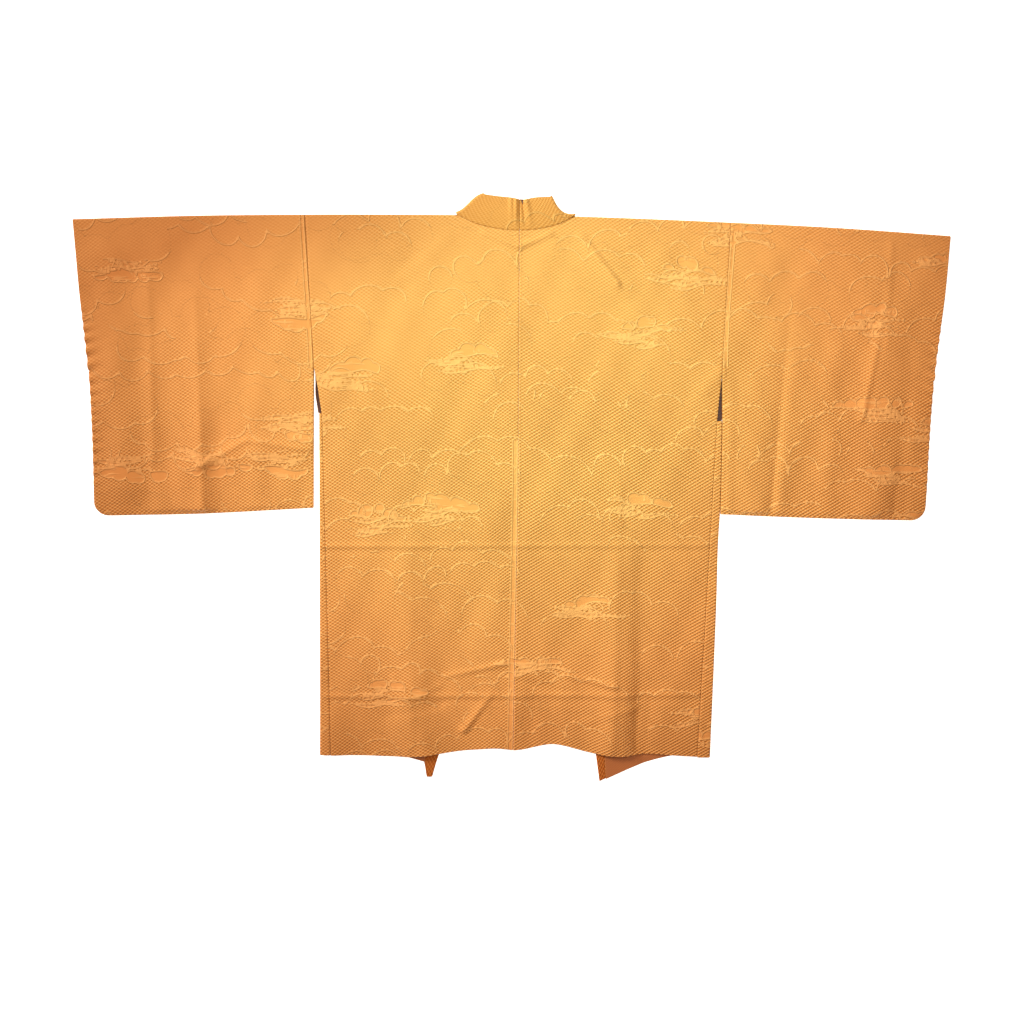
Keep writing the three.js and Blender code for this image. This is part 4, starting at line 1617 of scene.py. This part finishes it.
@dataclass(frozen=True)
class Silk:
    """Puffed lattice silk with woven clouds. Sizes are in metres of cloth."""

    name: str = "haori_silk"
    tile_across: float = 0.0074
    tile_along: float = 0.0050
    # crown and groove paint the tiles' highlight and shade: lit crowns, painted shade in the grooves
    crown: tuple[int, int, int] = (242, 204, 124)
    groove_shade: tuple[int, int, int] = (202, 138, 58)
    satin: tuple[int, int, int] = (228, 174, 96)
    russet: tuple[int, int, int] = (212, 152, 84)
    away: tuple[int, int, int] = (246, 217, 224)  # painted shade: tint of the cloth where the light falls off away from the shoulders and upper back
    ends: tuple[int, int, int] = (214, 199, 196)  # painted shade: tint of the cloth at the ends and the upper left
    tone: tuple[int, int, int] = (255, 255, 255)  # tint of the whole
    tail: tuple[int, int, int] = (255, 255, 255)  # painted shade: tint of what hangs below the hem
    puff: float = 0.75  # height of the tiles in millimetres
    roughness: float = 0.46
    sheen: tuple[int, int, int] = (255, 196, 110)
    hem_shade_reach: tuple[float, float] = (-0.37, -0.40)  # y over which the tail's painted shade comes in
    falloff_reach: tuple[float, float] = (0.12, 0.44)  # distances over which the painted falloff tint comes in
    end_shade_reach: tuple[float, float] = (0.36, 0.64)  # distances over which the painted shade of the ends does

    def build(self) -> bpy.types.Material:
        """Makes the material.

        The lattice is two crossing sets of slanted ribs, share cos(a - b) plus the rest
        cos(a + b), where a and b are the angles across and along on the cloth's own map. Woven cloud
        lines are raised where a stored distance is near zero, and satin clouds are smooth where
        it is negative, with short level dashes in them. The colour paints shade in the tiles' grooves,
        highlight on their crowns, lines and dashes, and shade where the light falls off away from the
        upper middle of the back, at the ends and the upper left, and below the hem.

        Returns:
            The material.
        """
        material, wiring, shader = blank(self.name)
        cloth = wiring.node("ShaderNodeUVMap", uv_map="cloth").outputs["UV"]
        place = wiring.node("ShaderNodeTexCoord").outputs["Object"]
        lattice = self.lattice(wiring, cloth, place)
        line, satin = self.clouds(wiring)
        dash = self.dashes(wiring, cloth, satin)
        quiet = wiring.math("SUBTRACT", 1.0, wiring.math("MAXIMUM", satin, line), clamp=True)
        strength = self.strength(wiring, place)
        relief = wiring.math("MULTIPLY", wiring.math("MULTIPLY", lattice, quiet), strength)

        # painted shade and highlight: the tiles' colour runs from the groove's painted shade to the lit crown
        # with their relief
        shade = wiring.math("MULTIPLY_ADD", relief, 0.8, 0.5, clamp=True)
        colour = wiring.mix(shade, linear(*self.groove_shade), linear(*self.crown))
        colour = wiring.mix(wiring.math("MULTIPLY", satin, 0.85), colour, linear(*self.satin))
        # painted highlight: the raised cloud lines and satin strokes are lightened towards the lit crown
        # colour
        line_highlight = wiring.math("MULTIPLY", wiring.math("MAXIMUM", line, dash), 0.6)
        colour = wiring.mix(line_highlight, colour, linear(*self.crown))
        tone = wiring.step(wiring.noise(place, 5.0, 3.0), 0.32, 0.72)
        colour = wiring.mix(wiring.math("MULTIPLY", tone, 0.22), colour, linear(*self.russet))
        # painted shade: away darkens the cloth as the light falls off from the upper middle of the back, ends
        # darkens the ends and the upper left, tail darkens what hangs below the hem; tone is the whole
        # cloth's own tint
        near, far = self.painted_falloff_shares(wiring, place)
        below = wiring.step(wiring.split(place)[1], *self.hem_shade_reach)
        tints = ((near, self.away), (1.0, self.tone), (below, self.tail), (far, self.ends))
        for share, tint in tints:
            colour = wiring.tint(colour, share, tint)
        wiring.plug(shader.inputs["Base Color"], colour)

        thread = wiring.noise(wiring.mapped(cloth, (1500, 400, 1)), 1.0, 1.0)
        height = wiring.math("MULTIPLY_ADD", relief, self.puff, wiring.math("MULTIPLY", line, 0.8))
        height = wiring.math("MULTIPLY_ADD", dash, 0.45, height)
        height = wiring.math("MULTIPLY_ADD", satin, -0.4, height)
        height = wiring.math("MULTIPLY_ADD", thread, 0.06, height)
        wiring.bump(shader, height, 1.0, 0.001)
        rough = wiring.math("MULTIPLY_ADD", satin, -0.08, self.roughness)
        wiring.plug(shader.inputs["Roughness"], rough)
        shader.inputs["Sheen Weight"].default_value = 0.05
        shader.inputs["Sheen Roughness"].default_value = 0.5
        shader.inputs["Sheen Tint"].default_value = linear(*self.sheen)
        shader.inputs["Specular IOR Level"].default_value = 0.3
        shader.inputs["Specular Tint"].default_value = linear(*self.sheen)
        return material

    def lattice(self, wiring: Wiring, cloth: object, place: object) -> object:
        """Height of the puffed tiles, from -1 in a pit to 1 on a crown.

        Args:
            wiring: The material's helper.
            cloth: The cloth's own map.
            place: Place in the garment, in metres.

        Returns:
            The height.
        """
        drift = wiring.math("MULTIPLY", wiring.noise(place, 7.0, 2.0), 0.012)
        x, y, _ = wiring.split(cloth)
        slant = wiring.math("MULTIPLY_ADD", wiring.math("ABSOLUTE", x), 0.09, drift)
        u = wiring.math("ADD", x, drift)
        v = wiring.math("ADD", y, slant)
        across = wiring.math("MULTIPLY", u, 2 * np.pi / self.tile_across)
        along = wiring.math("MULTIPLY", v, 2 * np.pi / self.tile_along)
        rising = wiring.math("COSINE", wiring.math("SUBTRACT", across, along))
        falling = wiring.math("COSINE", wiring.math("ADD", across, along))
        share = wiring.math("MULTIPLY_ADD", wiring.step(x, -0.16, 0.12), 0.14, 0.45)
        rest = wiring.math("SUBTRACT", 1.0, share)
        return wiring.math("MULTIPLY_ADD", rising, share, wiring.math("MULTIPLY", falling, rest))

    def clouds(self, wiring: Wiring) -> tuple[object, object]:
        """Masks of the woven cloud lines and of the satin clouds.

        Args:
            wiring: The material's helper.

        Returns:
            The two masks.
        """
        woven = wiring.node("ShaderNodeAttribute", attribute_name="woven")
        first, second, patch = wiring.split(woven.outputs["Vector"])
        near = wiring.math("MINIMUM", wiring.math("ABSOLUTE", first), wiring.math("ABSOLUTE", second))
        near = wiring.math("MINIMUM", near, wiring.math("ABSOLUTE", patch))
        return wiring.step(near, 1.6, 0.6), wiring.step(patch, 0.4, -0.6)

    def dashes(self, wiring: Wiring, cloth: object, satin: object) -> object:
        """Short level and upright strokes woven into the satin clouds.

        Args:
            wiring: The material's helper.
            cloth: The cloth's own map.
            satin: Mask of the satin clouds.

        Returns:
            Mask of the strokes.
        """
        grains = (((30, 210, 1), 0.56, 0.68), ((240, 90, 1), 0.5, 0.62), ((26, 60, 1), 0.54, 0.62))
        level, upright, patchy = (
            wiring.step(wiring.noise(wiring.mapped(cloth, scale), 1.0, 1.0), low, high)
            for scale, low, high in grains
        )
        stroke = wiring.math("MAXIMUM", level, wiring.math("MULTIPLY", upright, patchy))
        return wiring.math("MULTIPLY", stroke, satin)

    def strength(self, wiring: Wiring, place: object) -> object:
        """How strongly the tiles stand up, in relief and in their painted shade: more lower down and to the
        right, with a random part.

        Args:
            wiring: The material's helper.
            place: Place in the garment, in metres.

        Returns:
            The share of the full height.
        """
        x, y, _ = wiring.split(place)
        down, right = wiring.step(y, 0.38, 0.0), wiring.step(x, -0.45, 0.2)
        share = wiring.math("MULTIPLY_ADD", down, 0.54, wiring.math("MULTIPLY", right, 0.22))
        cloudy = wiring.math("MULTIPLY_ADD", wiring.noise(place, 6.5, 2.0), 0.78, -0.16)
        return wiring.math("ADD", share, cloudy, clamp=True)

    def painted_falloff_shares(self, wiring: Wiring, place: object) -> tuple[object, object]:
        """Shares of the two painted shade tints, where the light falls off: soft ramps of the distance from
        the upper middle of the back.

        The second also takes in the upper left part.

        Args:
            wiring: The material's helper.
            place: Place in the garment, in metres.

        Returns:
            The shares of the painted falloff tint and of the painted shade at the ends.
        """
        x, y, _ = wiring.split(place)
        length = wiring.node("ShaderNodeVectorMath", operation="LENGTH")
        wiring.plug(length.inputs[0], wiring.mapped(place, (0.85, 0.84, 0.0), (-0.034, -0.143, 0.0)))
        away = length.outputs["Value"]
        # painted shade in the upper left corner
        corner = wiring.math("MULTIPLY", wiring.step(x, 0.0, -0.26), wiring.step(y, 0.28, 0.43))
        far = wiring.math("MULTIPLY_ADD", corner, 0.7, wiring.step(away, *self.end_shade_reach))
        return wiring.step(away, *self.falloff_reach), far


@dataclass(frozen=True)
class Lining:
    """Plain silk of the inner side, seen only where a front corner hangs below the hem."""

    name: str = "haori_lining"
    colour: tuple[int, int, int] = (176, 98, 44)
    inner_shade: tuple[int, int, int] = (74, 30, 14)  # painted shade deep inside the garment, away from the hem
    inner_shade_reach: tuple[float, float] = (-0.39, -0.33)  # y over which the painted shade comes in

    def build(self) -> bpy.types.Material:
        """Makes the material: a fine slanted twill with a slow change of tone, going dark as painted shade
        deep inside the garment, away from the hem.

        Returns:
            The material.
        """
        material, wiring, shader = blank(self.name)
        cloth = wiring.node("ShaderNodeUVMap", uv_map="cloth").outputs["UV"]
        twill = wiring.node("ShaderNodeTexWave", bands_direction="DIAGONAL")
        wiring.plug(twill.inputs["Vector"], cloth)
        twill.inputs["Scale"].default_value = 160.0
        twill.inputs["Distortion"].default_value = 0.6
        tone = wiring.math("MULTIPLY_ADD", wiring.noise(cloth, 22.0), 0.5, 0.1)
        dark = linear(*(round(0.78 * part) for part in self.colour))
        tone = wiring.math("MULTIPLY_ADD", twill.outputs["Fac"], 0.25, tone)
        colour = wiring.mix(tone, linear(*self.colour), dark)
        place = wiring.node("ShaderNodeTexCoord").outputs["Object"]
        # painted shade: the inner side goes dark away from the hem, where it lies inside the garment
        inside = wiring.step(wiring.split(place)[1], *self.inner_shade_reach)
        colour = wiring.mix(inside, colour, linear(*self.inner_shade))
        wiring.plug(shader.inputs["Base Color"], colour)
        wiring.bump(shader, twill.outputs["Fac"], 0.5, 0.0002)
        shader.inputs["Roughness"].default_value = 0.5
        shader.inputs["Sheen Weight"].default_value = 0.1
        return material


# ---- Studio ----------------------------------------------------------------------------------
@dataclass
class Studio:
    """Pale floor, soft lights and the camera. Sizes are in metres."""

    floor_half: float = 6.0
    camera_height: float = 2.150
    camera_tilt: float = 8.6
    camera_behind_neck: float = 0.117
    lens: float = 50.0
    sky_colour: tuple[float, float, float, float] = (1.0, 0.70, 0.52, 1.0)
    sky_strength: float = 0.2
    floor_gap: float = 0.0002

    def build(self) -> None:
        """Makes the floor, the lights, the sky and the camera."""
        self.floor()
        lights = (
            ("key", (-4.8, 3.2, 3.4), (0.0, 0.0, 0.0), 1.9, 480.0, (1.0, 1.0, 0.94)),
            ("top", (0.12, 0.26, 1.30), (0.10, 0.20, 0.0), 0.4, 8.6, (1.0, 1.0, 0.84)),
            ("fill", (0.0, -0.2, 3.2), (0.0, 0.0, 0.0), 3.6, 26.0, (1.0, 0.72, 0.54)),
        )
        for name, place, target, size, power, colour in lights:
            self.light(name, place, target, size, power, colour)
        world = bpy.data.worlds.new("studio")
        bpy.context.scene.world = world
        world.use_nodes = True
        background = world.node_tree.nodes["Background"]
        background.inputs["Color"].default_value = self.sky_colour
        background.inputs["Strength"].default_value = self.sky_strength
        bpy.context.scene.view_settings.view_transform = "Standard"
        self.camera()

    def floor(self) -> None:
        """Makes the floor just under the garment's lowest point."""
        half, level = self.floor_half, CAD_BOX[0][2] - self.floor_gap
        mesh = bpy.data.meshes.new("floor")
        corners = [(-half, -half, level), (half, -half, level), (half, half, level), (-half, half, level)]
        mesh.from_pydata(corners, [], [(0, 1, 2, 3)])
        floor = bpy.data.objects.new("floor", mesh)
        bpy.context.scene.collection.objects.link(floor)
        material = bpy.data.materials.new("floor_paint")
        material.use_nodes = True
        shader = material.node_tree.nodes["Principled BSDF"]
        shader.inputs["Base Color"].default_value = (0.93, 0.93, 0.93, 1.0)
        shader.inputs["Emission Color"].default_value = (1.0, 1.0, 1.0, 1.0)
        shader.inputs["Emission Strength"].default_value = 0.85
        shader.inputs["Roughness"].default_value = 0.9
        shader.inputs["Specular IOR Level"].default_value = 0.1
        mesh.materials.append(material)

    def light(
        self,
        name: str,
        place: Triple,
        target: Triple,
        size: float,
        power: float,
        colour: Triple,
    ) -> None:
        """Makes one square soft light that points at a target.

        Args:
            name: Name of the light.
            place: Where it hangs.
            target: What it points at.
            size: Side of the square.
            power: Power in watts.
            colour: Colour of the light.
        """
        data = bpy.data.lights.new(name, "AREA")
        data.size, data.energy, data.color = size, power, colour
        lamp = bpy.data.objects.new(name, data)
        bpy.context.scene.collection.objects.link(lamp)
        lamp.location = place
        direction = np.subtract(target, place)
        lamp.rotation_euler = (
            float(np.arctan2(np.hypot(direction[0], direction[1]), -direction[2])),
            0.0,
            float(np.arctan2(direction[0], -direction[1])) + np.pi,
        )

    def camera(self) -> None:
        """Makes the camera: above the shoulders, tilted a little towards the hem."""
        data = bpy.data.cameras.new("camera")
        data.lens, data.sensor_width = self.lens, 36.0
        data.clip_end = 50.0
        camera = bpy.data.objects.new("camera", data)
        bpy.context.scene.collection.objects.link(camera)
        behind = NECK_Y * MM - self.camera_behind_neck
        camera.location = (0.0, behind, self.camera_height)
        camera.rotation_euler = (-np.radians(self.camera_tilt), 0.0, 0.0)
        bpy.context.scene.camera = camera


# ---- Assembly --------------------------------------------------------------------------------
@dataclass
class Piece:
    """A finished cloth piece: its maker, the node it stands for and the cut it came from."""

    node: str
    maker: Body | Sleeve | Gore | Collar
    flat: tuple[float, float]
    rests_on: tuple[str, ...]

    def build(self, finishes: tuple[bpy.types.Material, ...]) -> bpy.types.Object:
        """Args:
            finishes: Materials of the outer and the inner side.

        Returns:
            The piece's object.
        """
        surface = self.maker.surface()
        name = f"{self.node}_cloth"
        piece = bpy.data.objects.new(name, shell_mesh(name, surface))
        bpy.context.scene.collection.objects.link(piece)
        for finish in finishes:
            piece.data.materials.append(finish)
        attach(piece, "root")
        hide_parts(self.node)
        area = min(surface.area(), self.flat[0] * self.flat[1])
        triangles = 2 * len(piece.data.polygons)
        log.info("%s: %d triangles, %.4f square metres of cloth", name, triangles, area)
        return piece


FLAT_SIZES = {"body": (0.325, 1.70), "sleeve": (0.355, 0.90), "gore": (0.05, 0.54), "collar": (0.12, 1.0)}


def main() -> None:
    """Builds the studio and every piece of the jacket."""
    logging.basicConfig(level=logging.INFO, format="%(name)s: %(message)s")
    Studio().build()
    lining = Lining().build()
    cloth = Silk().build()
    # the collar's tail tint is painted shade on its ends below the hem
    band = Silk(name="haori_silk_collar", tone=(240, 234, 222), tail=(230, 196, 170), puff=0.4).build()
    for cut in (LEFT_CUT, RIGHT_CUT):
        for maker in (Body(cut), Sleeve(cut), Gore(cut), Collar(cut)):
            kind = type(maker).__name__.lower()
            outer = band if isinstance(maker, Collar) else cloth
            Piece(f"{kind}_{cut.name}", maker, FLAT_SIZES[kind], ("floor",)).build((outer, lining))


if __name__ == "__main__":
    main()
